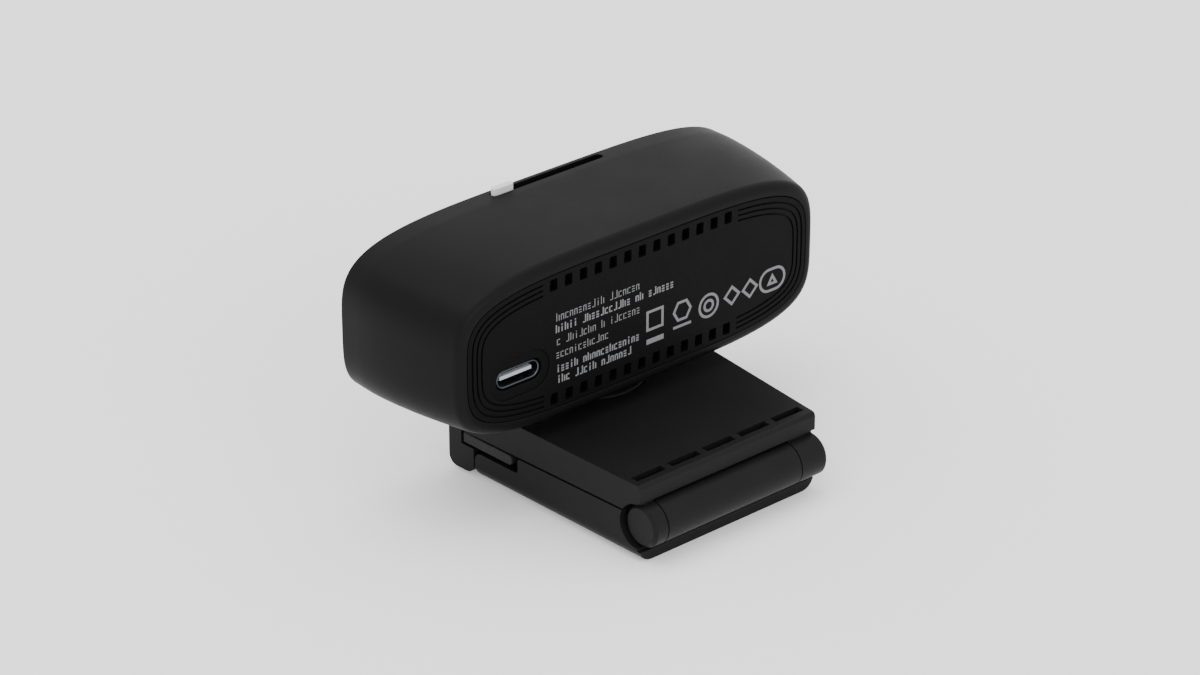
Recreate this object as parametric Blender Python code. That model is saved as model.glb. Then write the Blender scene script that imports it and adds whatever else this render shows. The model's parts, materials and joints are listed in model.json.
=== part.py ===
"""Webcam on a folding monitor clip.

Metres, +Z up. The lens looks along -Y and the USB inlet faces +Y. The origin is on the head's swivel axis,
in the plane that the folded leg rests on. Every named size can be set by itself, and what fits to it follows.
"""

import math

import bmesh
import bpy
from mathutils import Matrix, Vector

MM = 1e-3

# Clearances
GAP = 0.3 * MM  # between pieces that touch
RUNNING = 0.2 * MM  # between pieces that turn or slide on each other
SEAT = 0.1 * MM  # under a screw's head
OVERCUT = 1.0 * MM  # how far a cutter reaches past what it cuts
SINK = 0.4 * MM  # how far a joined shape enters its neighbour
PILOT_STOP = 0.6 * MM  # left solid at the blind end of a screw's hole
SCREW_TIP_GAP = 0.5 * MM  # between a screw's tip and the end of its hole
TINY = 1e-6  # tolerance for comparing coordinates

# Folding leg, seen from the side
LEG_FLOOR = 1.8 * MM
LEG_WALL = 1.5 * MM
LEG_EDGE_REAR = 8.35 * MM  # height of the side walls at the hinge
LEG_EDGE_FRONT = 7.65 * MM
LEG_TIP_HEIGHT = 5.1 * MM
LEG_TIP_LENGTH = 10.4 * MM
LEG_SIDE_FILLET = 2.6 * MM
LEG_END_RADIUS = 1.5 * MM
LEG_STEP_RADIUS = 0.6 * MM
LEG_REAR_STEP = 1.9 * MM  # height of the rear face below the barrel
LEG_COVER_THICKNESS = 1.0 * MM
LEG_COVER_DROP = 0.45 * MM  # cover's face below the lowest side wall
LEG_PAD_THICKNESS = 0.7 * MM
LEG_PAD_POCKET = 0.6 * MM
LEG_PAD_MARGIN = 4.0 * MM
LEG_PAD_LENGTH = 11.0 * MM
LEG_SCREW_FROM_WALL = 3.2 * MM
LEG_SCREW_FROM_STEP = 3.4 * MM
LEG_SCREW_FROM_REAR = 4.0 * MM

# Clip plate
PLATE_HALF_WIDTH = 19.33 * MM  # at the rear edge
PLATE_FLARE = 0.068  # growth of the half width for each unit forward
PLATE_REAR_Y = 34.87 * MM
PLATE_FRONT_Y = -10.6 * MM
PLATE_TOP_WALL = 1.6 * MM
PLATE_SIDE_WALL = 1.5 * MM
PLATE_SKIRT = 5.5 * MM  # side wall's height at the hinge
PLATE_CHAMFER = 1.0 * MM
PLATE_FRONT_RADIUS = 1.2 * MM
PLATE_REAR_RADIUS = 0.8 * MM
HOLLOW_MARGIN = 1.0 * MM  # from the swivel's washer to the hollow's front
FOLD_GAP = 0.35 * MM  # between the folded leg and the plate
LIP_THICKNESS = 6.1 * MM
LIP_CLEARANCE = 0.6 * MM  # from the lip to the resting plane
LIP_RADIUS = 1.8 * MM
SLOT_COUNT = 5
SLOT_GAP = 1.4 * MM
SLOT_END_MARGIN = 1.03 * MM
SLOT_WIDTH = 1.5 * MM
SLOT_DEPTH = 1.2 * MM
SLOT_FROM_REAR = 2.65 * MM
PLATE_COVER_THICKNESS = 1.0 * MM
PLATE_COVER_RISE = 0.2 * MM
PAD_THICKNESS = 1.9 * MM
PAD_EMBED = 2.7 * MM  # how far the grip pad enters the lip
PAD_REACH = 9.1 * MM  # how far it stands out behind the lip
PAD_END_RADIUS = 0.75 * MM
PAD_SIDE_INSET = 0.15 * MM
CLIP_SCREW_FROM_WALL = 3.4 * MM
CLIP_SCREW_FROM_STEP = 3.0 * MM
CLIP_SCREW_FROM_REAR = 3.6 * MM
CASE_SCREW_RADIUS = 0.8 * MM
CASE_SCREW_HEAD_RADIUS = 1.6 * MM
CASE_SCREW_HEAD_HEIGHT = 0.45 * MM
SCREW_HEAD_TAPER = 0.85  # top of a pan head against its rim
BOSS_WALL = 1.1 * MM

# Hinge between the plate and the leg
BARREL_RADIUS = 3.8 * MM
BARREL_BELOW_EDGE = 0.45 * MM  # the axis lies this far ahead of the plate's rear edge
BARREL_AXIS_Z = 6.55 * MM
BARREL_CLEARANCE = 0.35 * MM
KNUCKLE_RIGHT = 6.0 * MM
KNUCKLE_LEFT = 2.85 * MM
KNUCKLE_LEFT_INSET = 0.5 * MM  # from the plate's side face
KNUCKLE_RIGHT_PROUD = 0.17 * MM
KNUCKLE_CHAMFER = 0.6 * MM
KNUCKLE_END_WALL = 1.0 * MM
KNUCKLE_WEB_DEPTH = 2.6 * MM  # ahead of the axis
KNUCKLE_WEB_RISE = 1.0 * MM  # above the axis
BARREL_WEB_BACK = 1.2 * MM  # the middle barrel's web ends this far ahead of the axis
PIN_RADIUS = 1.25 * MM
SLEEVE_RADIUS = 2.2 * MM

# Swivel
SWIVEL_RADIUS = 9.35 * MM
SWIVEL_THICKNESS = 1.0 * MM
SWIVEL_PROUD = 0.3 * MM
SWIVEL_EDGE = 0.25 * MM
SWIVEL_SEAT_WALL = 0.9 * MM
SPIGOT_RADIUS = 2.9 * MM
NECK_HALF_WIDTH = 4.0 * MM
NECK_RADIUS = 3.2 * MM
NECK_COLLAR_RADIUS = 5.2 * MM
NECK_COLLAR_HEIGHT = 1.1 * MM
NECK_COLLAR_RIM = 0.6 * MM  # the collar's top stands this far round the neck
SWIVEL_WASHER_RADIUS = 5.2 * MM
SWIVEL_WASHER_THICKNESS = 0.6 * MM
SWIVEL_SCREW_RADIUS = 1.1 * MM
SWIVEL_SCREW_HEAD_RADIUS = 2.6 * MM
SWIVEL_SCREW_HEAD_HEIGHT = 0.7 * MM
SWIVEL_SCREW_LENGTH = 5.2 * MM

# Tilt joint inside the head
NECK_CLEARANCE = 1.0 * MM  # under the lens holder
TILT_PIN_RADIUS = 1.0 * MM
TILT_WASHER_THICKNESS = 0.5 * MM
TILT_WASHER_RADIUS = 2.1 * MM
TILT_PIN_PROUD = 0.5 * MM
TILT_UP = math.radians(12)
BRACKET_THICKNESS = 1.0 * MM
BRACKET_HALF_LENGTH = 12.5 * MM
BRACKET_HALF_DEPTH = 7.2 * MM
EAR_HALF_DEPTH = 2.4 * MM
BRACKET_SCREW_X = 9.6 * MM
FLOOR_PILOT_STOP = 0.5 * MM  # left solid under a screw in the shell's floor

# Head
HEAD_RISE = 2.05 * MM  # gap between the plate and the head
HEAD_HALF_WIDTH = 42.3 * MM
HEAD_HALF_HEIGHT = 15.5 * MM
HEAD_DEPTH = 26.2 * MM
HEAD_EXPONENT = 4.2
BAND_DEPTH = 4.1 * MM
SIDE_TAPER = 3.7 * MM
SIDE_TAPER_EVEN = 0.35  # share of the taper that runs straight, and the rest curves
SIDE_TAPER_POWER = 2.2
TOP_TAPER = 0.9 * MM
TOP_TAPER_EVEN = 0.6
TOP_TAPER_POWER = 2
SIDE_SHOULDER = 1.1 * MM
TOP_SHOULDER = 1.65 * MM
RIM_CHAMFER = 0.3 * MM
SHELL_WALL = 1.6 * MM
RIM_WALL = 1.2 * MM
REAR_LIP = 0.5 * MM
REAR_LEDGE = 1.0 * MM

# Rear panel
PANEL_THICKNESS = 1.5 * MM
VENT_PITCH = 3.16 * MM
VENT_COUNT = 13
VENT_WIDTH = 1.6 * MM
VENT_HEIGHT = 2.1 * MM
VENT_INSET = 2.53 * MM  # from the rear face's edge to the row's centre line
USB_FROM_END = 11.5 * MM  # from the rear face's end to the inlet
USB_DROP = 3.7 * MM
USB_RECESS = (12.5 * MM, 7.35 * MM, 0.35 * MM)
USB_SHELL = (8.94 * MM, 3.26 * MM)
USB_SHELL_WALL = 0.3 * MM
USB_TONGUE = (6.69 * MM, 0.7 * MM)
USB_MOUTH = 0.7 * MM  # behind the rear face
USB_BACK_WALL = 0.5 * MM
USB_TONGUE_INSET = 0.6 * MM  # behind the shell's mouth

# Front
WINDOW_RECESS = 0.1 * MM
WINDOW_THICKNESS = 0.9 * MM
FRAME_THICKNESS = 1.2 * MM
FRAME_RIM = 1.2 * MM
BEZEL_MARGIN = 0.7 * MM  # from the lens to the bezel's bore
BEZEL_WIDTH = 2.2 * MM
LENS_RADIUS = 4.5 * MM
LENS_WALL = 0.8 * MM
LENS_GLASS_THICKNESS = 1.2 * MM
LENS_GLASS_CROWN = 0.25 * MM
LENS_GLASS_FLAT = 0.55  # flat middle of the glass against its radius
LENS_COVER_THICKNESS = 0.6 * MM
HOLDER_WALL = 0.7 * MM
HOLDER_LENGTH = 10.0 * MM
SENSOR = (6.0 * MM, 5.0 * MM, 0.9 * MM)
MIC_INWARD = 1.4 * MM  # from halfway between the parked shutter and the frame's rim
MIC_PORT_RADIUS = 0.6 * MM
MIC_SIZE = (3.5 * MM, 2.65 * MM, 1.0 * MM)
GASKET_RADIUS = 1.8 * MM
LED_FROM_BEZEL = 2.2 * MM
LIGHT_PIPE_RADIUS = 0.7 * MM
LED_SIZE = (1.6 * MM, 0.8 * MM, 0.8 * MM)

# Shutter
SHUTTER_SLOT_FROM_RIM = 1.8 * MM
SHUTTER_SLOT_HALF_LENGTH = 12.1 * MM
SHUTTER_SLOT_WIDTH = 1.6 * MM
SHUTTER_KNOB_LENGTH = 4.4 * MM
SHUTTER_KNOB_PROUD = 1.0 * MM
SHUTTER_KNOB_CORNER = 0.6  # corner's size against half the knob's width
SHUTTER_KNOB_ROOT = 0.4 * MM  # below the shell's inner face
SHUTTER_BLADE_THICKNESS = 0.5 * MM
SHUTTER_MARGIN = 0.7 * MM  # how far the blade reaches past the bezel's bore
SHUTTER_ARM_HEIGHT = 3.2 * MM
SHUTTER_STEM_WIDTH = 2.4 * MM

# Board
BOARD_THICKNESS = 1.0 * MM
BOARD_Y = 4.5 * MM
BOARD_MARGIN_X = 4.6 * MM
BOARD_MARGIN_Z = 3.35 * MM
BOARD_SCREW_INSET = 2.2 * MM
BOARD_SCREW_LENGTH = 5.0 * MM
PILLAR_RADIUS = 2.0 * MM
PILLAR_BORE_DEPTH = 6.0 * MM
CHIP = (9.0 * MM, 9.0 * MM, 1.0 * MM)
CHIP_X = -8.0 * MM

# Tripod thread in the leg's underside
INSERT_RADIUS = 4.4 * MM
INSERT_BORE = 3.15 * MM
INSERT_HEIGHT = 5.0 * MM
INSERT_Y = 16.0 * MM
INSERT_WALL = 1.5 * MM

# Fineness
OUTLINE_POINTS = 56
ROUND = 24
ROUND_LARGE = 36
ROUND_LENS = 32
ROUND_PIN = 20
ROUND_SCREW = 16
ROUND_PORT = 12
NECK_STEPS = 10
TAPER_STEPS = 4
WALL_STEPS = 3
SHOULDER_ANGLES = (30, 60, 90)
SMOOTH_ANGLE = math.radians(35)

# Places worked out from the sizes
PLATE_EDGE_REAR = LEG_EDGE_REAR + FOLD_GAP
PLATE_EDGE_FRONT = LEG_EDGE_FRONT + FOLD_GAP
PLATE_TOP = PLATE_EDGE_REAR + PLATE_SKIRT
HEAD_Z = PLATE_TOP + HEAD_RISE + HEAD_HALF_HEIGHT
FRONT_Y = -HEAD_DEPTH / 2
REAR_Y = HEAD_DEPTH / 2
BARREL_Y = PLATE_REAR_Y - BARREL_BELOW_EDGE
BARREL_BORE = BARREL_RADIUS + BARREL_CLEARANCE
BARREL_LEFT = PLATE_HALF_WIDTH - KNUCKLE_LEFT_INSET
BARREL_RIGHT = -PLATE_HALF_WIDTH - KNUCKLE_RIGHT_PROUD
SEAM_LEFT = BARREL_LEFT - KNUCKLE_LEFT
SEAM_RIGHT = BARREL_RIGHT + KNUCKLE_RIGHT
LIP_REAR_Y = PLATE_FRONT_Y + LIP_THICKNESS
LEG_FRONT_Y = LIP_REAR_Y + GAP
LEG_STEP_Y = LEG_FRONT_Y + LEG_TIP_LENGTH
REAR_HALF_WIDTH = HEAD_HALF_WIDTH - SIDE_TAPER - SIDE_SHOULDER
REAR_HALF_HEIGHT = HEAD_HALF_HEIGHT - TOP_TAPER - TOP_SHOULDER
FLOOR_Z = HEAD_Z - HEAD_HALF_HEIGHT + SHELL_WALL
HOLDER_BORE = LENS_RADIUS + GAP
HOLDER_HALF_SIZE = HOLDER_BORE + HOLDER_WALL
TILT_Z = HEAD_Z - HOLDER_HALF_SIZE - NECK_CLEARANCE - NECK_RADIUS
BEZEL_INNER_RADIUS = LENS_RADIUS + BEZEL_MARGIN
BEZEL_RADIUS = BEZEL_INNER_RADIUS + BEZEL_WIDTH
LED_X = -(BEZEL_RADIUS + LED_FROM_BEZEL)
SHUTTER_BLADE_HALF = BEZEL_INNER_RADIUS + SHUTTER_MARGIN
SLOT_LENGTH = (2 * (PLATE_HALF_WIDTH - SLOT_END_MARGIN) - (SLOT_COUNT - 1) * SLOT_GAP) / SLOT_COUNT
SLOT_PITCH = SLOT_LENGTH + SLOT_GAP
PLATE_COVER_TOP = PLATE_EDGE_REAR + PLATE_COVER_RISE + PLATE_COVER_THICKNESS
SWIVEL_TOP = PLATE_TOP + SWIVEL_PROUD
SEAT_Z = SWIVEL_TOP - SWIVEL_THICKNESS - GAP
SWIVEL_SCREW_SEAT = PLATE_COVER_TOP + GAP + SWIVEL_SCREW_HEAD_HEIGHT
SEAT_UNDERSIDE = SWIVEL_SCREW_SEAT + SEAT + SWIVEL_WASHER_THICKNESS + GAP
WINDOW_BACK = FRONT_Y + WINDOW_RECESS + WINDOW_THICKNESS
SHUTTER_Y = FRONT_Y + SHUTTER_SLOT_FROM_RIM
BLADE_BACK = SHUTTER_Y + SHUTTER_BLADE_THICKNESS / 2
FRAME_FRONT = BLADE_BACK + 2 * RUNNING
FRAME_BACK = FRAME_FRONT + FRAME_THICKNESS
LENS_FRONT = BLADE_BACK + 2 * RUNNING
SHUTTER_REST_X = SHUTTER_SLOT_HALF_LENGTH - SHUTTER_KNOB_LENGTH / 2 - GAP
SHUTTER_TRAVEL = 2 * SHUTTER_REST_X
BOARD_HALF_WIDTH = REAR_HALF_WIDTH - BOARD_MARGIN_X
BOARD_HALF_HEIGHT = REAR_HALF_HEIGHT - BOARD_MARGIN_Z
BOARD_BACK = BOARD_Y + BOARD_THICKNESS
USB_X = REAR_HALF_WIDTH - USB_FROM_END
USB_Z = HEAD_Z - USB_DROP
FRAME_INNER_X = HEAD_HALF_WIDTH - RIM_WALL - RUNNING - FRAME_RIM
MIC_X = (SHUTTER_TRAVEL + SHUTTER_BLADE_HALF + FRAME_INNER_X) / 2 - MIC_INWARD
CAVITY_REAR_Y = BARREL_Y - BARREL_BORE - PLATE_SIDE_WALL


# Materials: name -> (colour, roughness, metallic)
FINISHES = {
    "satin_black": ((0.022, 0.022, 0.023), 0.42, 0.0),
    "panel_black": ((0.012, 0.012, 0.013), 0.55, 0.0),
    "clip_black": ((0.012, 0.012, 0.012), 0.45, 0.0),
    "window_black": ((0.006, 0.006, 0.007), 0.08, 0.0),
    "inner_black": ((0.02, 0.02, 0.02), 0.6, 0.0),
    "light_grey": ((0.68, 0.68, 0.68), 0.4, 0.0),
    "rubber": ((0.016, 0.016, 0.016), 0.8, 0.0),
    "steel": ((0.55, 0.56, 0.58), 0.3, 1.0),
    "brass": ((0.78, 0.6, 0.3), 0.3, 1.0),
    "glass": ((0.03, 0.03, 0.06), 0.05, 0.0),
    "board_green": ((0.01, 0.09, 0.04), 0.45, 0.0),
    "chip_black": ((0.015, 0.015, 0.017), 0.4, 0.0),
    "clear": ((0.85, 0.87, 0.9), 0.15, 0.0),
}


def make_material(name):
    """The Principled material of one finish, made once."""
    if name in bpy.data.materials:
        return bpy.data.materials[name]
    colour, roughness, metallic = FINISHES[name]
    material = bpy.data.materials.new(name)
    material.use_nodes = True
    shader = material.node_tree.nodes["Principled BSDF"]
    shader.inputs["Base Color"].default_value = (*colour, 1)
    shader.inputs["Roughness"].default_value = roughness
    shader.inputs["Metallic"].default_value = metallic
    return material


def add_body(name, position):
    """An empty on a body's joint, which its pieces hang from."""
    body = bpy.data.objects.new(name, None)
    body.location = position
    bpy.context.scene.collection.objects.link(body)
    return body


def finish(bm, name, finish_name, body):
    """Turns a bmesh in world coordinates into a named piece of a body."""
    bmesh.ops.recalc_face_normals(bm, faces=bm.faces)
    mesh = bpy.data.meshes.new(name)
    bm.to_mesh(mesh)
    bm.free()
    mesh.materials.append(make_material(finish_name))
    mesh.shade_smooth()
    mesh.set_sharp_from_angle(angle=SMOOTH_ANGLE)
    piece = bpy.data.objects.new(name, mesh)
    bpy.context.scene.collection.objects.link(piece)
    if body:
        place = body.location.copy()
        mesh.transform(Matrix.Translation(-place))
        piece.parent = body
    return piece


def helper(bm, name):
    """A hidden shape for a Boolean."""
    piece = finish(bm, name, "inner_black", None)
    piece.hide_render = True
    piece.display_type = "WIRE"
    return piece


def combine(piece, bm, operation):
    """Adds a Boolean with a hidden shape: DIFFERENCE cuts, UNION joins."""
    other = helper(bm, f"{piece.name}_{operation.lower()}_{len(piece.modifiers)}")
    other.parent = piece.parent
    if piece.parent:
        other.data.transform(Matrix.Translation(-piece.parent.location))
    boolean = piece.modifiers.new(other.name, "BOOLEAN")
    boolean.operation = operation
    boolean.object = other
    boolean.solver = "EXACT"


def cut(piece, *shapes):
    """Cuts each shape from a piece."""
    for shape in shapes:
        combine(piece, shape, "DIFFERENCE")


def join(piece, *shapes):
    """Joins each shape to a piece."""
    for shape in shapes:
        combine(piece, shape, "UNION")


def loft(rings, closed=False):
    """A body through rings of points. Closed rings come back to the first; others are capped."""
    bm = bmesh.new()
    loops = [[bm.verts.new(point) for point in ring] for ring in rings]
    count = len(loops[0])
    pairs = list(zip(loops, loops[1:]))
    if closed:
        pairs.append((loops[-1], loops[0]))
    else:
        bm.faces.new(loops[0][::-1])
        bm.faces.new(loops[-1])
    for first, second in pairs:
        for k in range(count):
            after = (k + 1) % count
            bm.faces.new((first[k], first[after], second[after], second[k]))
    return bm


def box(low, high):
    """A block between two corners."""
    x0, y0, z0 = low
    x1, y1, z1 = high
    ring = [(x0, y0), (x1, y0), (x1, y1), (x0, y1)]
    return loft([[(x, y, z) for x, y in ring] for z in (z0, z1)])


def centred_box(centre, size):
    """A block of this size about its centre."""
    low = [c - s / 2 for c, s in zip(centre, size)]
    high = [c + s / 2 for c, s in zip(centre, size)]
    return box(low, high)


def turned(axis, centre, profile, count=ROUND):
    """Rings of a round body on an axis through centre. profile holds (distance along it, radius)."""
    along = {"X": Vector((1, 0, 0)), "Y": Vector((0, 1, 0)), "Z": Vector((0, 0, 1))}[axis]
    across = Vector((0, 0, 1)) if axis != "Z" else Vector((1, 0, 0))
    third = along.cross(across)
    rings = []
    for distance, radius in profile:
        middle = Vector(centre) + along * distance
        angles = [2 * math.pi * k / count for k in range(count)]
        rings.append([middle + radius * (math.cos(a) * across + math.sin(a) * third) for a in angles])
    return rings


def rod(axis, centre, start, end, radius, count=ROUND):
    """A cylinder from start to end along the axis."""
    return loft(turned(axis, centre, [(start, radius), (end, radius)], count))


def ring(axis, centre, start, end, outer, inner, count=ROUND):
    """A tube or washer."""
    profile = [(start, outer), (end, outer), (end, inner), (start, inner)]
    return loft(turned(axis, centre, profile, count), closed=True)


def screw(name, axis, seat, direction, radius, head_radius, head_height, length, body):
    """A pan-head screw whose head stands on seat and whose shank runs the other way from direction."""
    top_radius = SCREW_HEAD_TAPER * head_radius
    profile = [(head_height, top_radius), (0, head_radius), (0, radius), (-length, radius)]
    if direction < 0:
        profile = [(-distance, size) for distance, size in profile]
    return finish(loft(turned(axis, seat, profile, ROUND_SCREW)), name, "steel", body)


def screw_hole(axis, centre, start, end):
    """The hole of a case screw, from start to end along the axis."""
    return rod(axis, centre, start, end, CASE_SCREW_RADIUS + RUNNING, ROUND_SCREW)


def oblong(half_x, half_z, exponent=HEAD_EXPONENT, count=OUTLINE_POINTS):
    """Points (x, z) of the head's rounded outline, about its centre."""
    points = []
    for k in range(count):
        cosine = math.cos(2 * math.pi * k / count)
        sine = math.sin(2 * math.pi * k / count)
        x = half_x * math.copysign(abs(cosine) ** (2 / exponent), cosine)
        z = half_z * math.copysign(abs(sine) ** (2 / exponent), sine)
        points.append((x, z))
    return points


def head_ring(y, half_x, half_z):
    """The head's outline at y with these half sizes."""
    return [(x, y, HEAD_Z + z) for x, z in oblong(half_x, half_z)]


def stadium(width, height, steps=8):
    """Points (x, z) of a slot's outline with round ends."""
    radius = height / 2
    points = []
    for side in (1, -1):
        centre = side * (width / 2 - radius)
        start = -math.pi / 2 if side > 0 else math.pi / 2
        for k in range(steps + 1):
            angle = start + math.pi * k / steps
            points.append((centre + radius * math.cos(angle), radius * math.sin(angle)))
    return points


def slot_along_y(x, z, width, height, start, end):
    """A bar with round ends that runs along Y."""
    outline = stadium(width, height)
    return loft([[(x + px, y, z + pz) for px, pz in outline] for y in (start, end)])


def head_section(y):
    """The head's outer half width and half height at y."""
    share = max(0.0, (y - FRONT_Y - BAND_DEPTH) / (HEAD_DEPTH - BAND_DEPTH))
    side = SIDE_TAPER_EVEN * share + (1 - SIDE_TAPER_EVEN) * share**SIDE_TAPER_POWER
    top = TOP_TAPER_EVEN * share + (1 - TOP_TAPER_EVEN) * share**TOP_TAPER_POWER
    half_x = HEAD_HALF_WIDTH - SIDE_TAPER * side - shoulder(y, SIDE_SHOULDER)
    half_z = HEAD_HALF_HEIGHT - TOP_TAPER * top - shoulder(y, TOP_SHOULDER)
    return half_x, half_z


def shoulder(y, radius):
    """How far a quarter round of this radius has pulled the outline in at y."""
    into = y - (REAR_Y - radius)
    if into <= 0:
        return 0.0
    return radius - math.sqrt(max(0.0, radius**2 - into**2))


def clip_half_width(y):
    """The clip's half width at y: its sides spread towards the front."""
    return PLATE_HALF_WIDTH + PLATE_FLARE * (PLATE_REAR_Y - y)


def flared(profile, inset=0.0):
    """A body between the clip's flared sides, from the (y, z) points of its side view."""
    return loft([[(side * (clip_half_width(y) - inset), y, z) for y, z in profile] for side in (-1, 1)])


def rounded(corners, steps=5):
    """Points of an outline whose corners (y, z, radius) are rounded."""
    points = []
    for k, (y, z, radius) in enumerate(corners):
        here = Vector((y, z))
        if not radius:
            points.append((y, z))
            continue
        before = (Vector(corners[k - 1][:2]) - here).normalized()
        after = (Vector(corners[(k + 1) % len(corners)][:2]) - here).normalized()
        half = before.angle(after) / 2
        reach = radius / math.tan(half)
        centre = here + (before + after).normalized() * (radius / math.sin(half))
        start = here + before * reach - centre
        end = here + after * reach - centre
        turn = start.angle_signed(end)
        for step in range(steps + 1):
            point = centre + Matrix.Rotation(-turn * step / steps, 2) @ start
            points.append((point.x, point.y))
    return points


def bevel_sides(bm, low, high, width, segments):
    """Rounds the edges on the flared sides that run forward between two heights."""
    edges = []
    for edge in bm.edges:
        first, second = (vert.co for vert in edge.verts)
        on_side = first.x * second.x > 0
        inside = all(low <= vert.co.z <= high for vert in edge.verts)
        if on_side and inside and abs(first.y - second.y) > TINY:
            edges.append(edge)
    bmesh.ops.bevel(bm, geom=edges, offset=width, segments=segments, profile=0.5, affect="EDGES")


# ---- clip ----


def edge_height(y, rear, front):
    """Height of a long edge that slopes evenly from the hinge to the lip."""
    share = (PLATE_REAR_Y - y) / (PLATE_REAR_Y - PLATE_FRONT_Y)
    return rear + (front - rear) * share


def plate_edge(y):
    """Height of the plate's lower edge at y."""
    return edge_height(y, PLATE_EDGE_REAR, PLATE_EDGE_FRONT)


def leg_edge(y):
    """Height of the leg's side wall at y."""
    return edge_height(y, LEG_EDGE_REAR, LEG_EDGE_FRONT)


def clip_screw_places():
    """Screws of the plate's under cover."""
    return [
        (side * (clip_half_width(y) - PLATE_SIDE_WALL - CLIP_SCREW_FROM_WALL), y)
        for side in (1, -1)
        for y in (LEG_STEP_Y + CLIP_SCREW_FROM_STEP, CAVITY_REAR_Y - CLIP_SCREW_FROM_REAR)
    ]


def cover_span():
    """Front and rear of the plate's hollow, which its under cover closes."""
    return -SWIVEL_WASHER_RADIUS - HOLLOW_MARGIN, CAVITY_REAR_Y


def make_clip_plate(body):
    """Plate with its skirt, front lip and the two outer hinge knuckles."""
    profile = rounded(
        [
            (PLATE_FRONT_Y, PLATE_TOP, PLATE_FRONT_RADIUS),
            (PLATE_FRONT_Y, LIP_CLEARANCE, LIP_RADIUS),
            (LIP_REAR_Y, LIP_CLEARANCE, LIP_RADIUS),
            (LIP_REAR_Y, plate_edge(LIP_REAR_Y), 0),
            (PLATE_REAR_Y, plate_edge(PLATE_REAR_Y), 0),
            (PLATE_REAR_Y, PLATE_TOP, PLATE_REAR_RADIUS),
        ]
    )
    bm = flared(profile)
    bevel_sides(bm, PLATE_TOP - TINY, PLATE_TOP + TINY, PLATE_CHAMFER, 2)
    plate = finish(bm, "clip_plate", "clip_black", body)

    front, rear = cover_span()
    ceiling = PLATE_TOP - PLATE_TOP_WALL
    open_z = PLATE_EDGE_FRONT - OVERCUT
    hollow = [(front, open_z), (rear, open_z), (rear, ceiling), (front, ceiling)]
    cut(plate, flared(hollow, PLATE_SIDE_WALL))

    # Pocket for the grip pad, right across the lip
    pad_front = LIP_REAR_Y - PAD_EMBED - GAP
    pocket = [
        (pad_front, pad_bottom() - GAP),
        (LEG_STEP_Y, pad_bottom() - GAP),
        (LEG_STEP_Y, pad_top() + GAP),
        (pad_front, pad_top() + GAP),
    ]
    cut(plate, flared(pocket, -OVERCUT))

    # Seat of the swivel disc, with its floor and bore
    seat_outer = SWIVEL_RADIUS + SWIVEL_SEAT_WALL
    join(plate, rod("Z", (0, 0, 0), SEAT_UNDERSIDE, PLATE_TOP - SINK, seat_outer, ROUND_LARGE))
    cut(plate, rod("Z", (0, 0, 0), SEAT_Z, PLATE_TOP + OVERCUT, SWIVEL_RADIUS + GAP, ROUND_LARGE))
    cut(plate, rod("Z", (0, 0, 0), 0, PLATE_TOP, SPIGOT_RADIUS + RUNNING))

    # Bosses for the under cover's screws
    boss_bottom = PLATE_COVER_TOP + GAP
    boss_radius = CASE_SCREW_RADIUS + GAP + BOSS_WALL
    for x, y in clip_screw_places():
        join(plate, rod("Z", (x, y, 0), boss_bottom, ceiling + SINK, boss_radius, ROUND_PIN))
        cut(plate, screw_hole("Z", (x, y, 0), boss_bottom - OVERCUT, ceiling - PILOT_STOP))

    # Round clearance for the leg's barrel and for the leg's side walls, then the knuckles
    centre = (0, BARREL_Y, BARREL_AXIS_Z)
    reach = PLATE_HALF_WIDTH + 3 * OVERCUT
    cut(plate, rod("X", centre, -reach, reach, BARREL_BORE, ROUND_LARGE))
    way_top = BARREL_AXIS_Z + BARREL_BORE + GAP
    cut(plate, box((-reach, BARREL_Y - RUNNING, 0), (reach, PLATE_REAR_Y + OVERCUT, way_top)))
    join(plate, knuckle(SEAM_LEFT + RUNNING / 2, BARREL_LEFT))
    join(plate, knuckle(SEAM_RIGHT - RUNNING / 2, BARREL_RIGHT))
    bore_start = BARREL_RIGHT + KNUCKLE_END_WALL
    bore_end = BARREL_LEFT - KNUCKLE_END_WALL
    cut(plate, rod("X", centre, bore_start, bore_end, PIN_RADIUS + RUNNING))
    cut(plate, rod("X", centre, bore_start, SEAM_RIGHT + OVERCUT, SLEEVE_RADIUS + RUNNING))

    # Row of slots by the rear edge
    for k in range(SLOT_COUNT):
        x = (k - (SLOT_COUNT - 1) / 2) * SLOT_PITCH
        middle = PLATE_REAR_Y - SLOT_FROM_REAR
        low = (x - SLOT_LENGTH / 2, middle - SLOT_WIDTH / 2, PLATE_TOP - SLOT_DEPTH)
        high = (x + SLOT_LENGTH / 2, middle + SLOT_WIDTH / 2, PLATE_TOP + OVERCUT)
        cut(plate, box(low, high))


def knuckle(start, end):
    """An outer knuckle with the web that ties it to the plate's rear edge."""
    sign = 1 if end > start else -1
    profile = [
        (start, BARREL_RADIUS),
        (end - sign * KNUCKLE_CHAMFER, BARREL_RADIUS),
        (end, BARREL_RADIUS - KNUCKLE_CHAMFER),
    ]
    bm = loft(turned("X", (0, BARREL_Y, BARREL_AXIS_Z), profile, ROUND_LENS))
    web_low = min(start, end - sign * KNUCKLE_CHAMFER)
    web_high = max(start, end - sign * KNUCKLE_CHAMFER)
    web = box(
        (web_low, BARREL_Y - KNUCKLE_WEB_DEPTH, BARREL_AXIS_Z + KNUCKLE_WEB_RISE),
        (web_high, BARREL_Y, BARREL_AXIS_Z + BARREL_BORE + GAP + SINK),
    )
    return united(bm, web)


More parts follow.
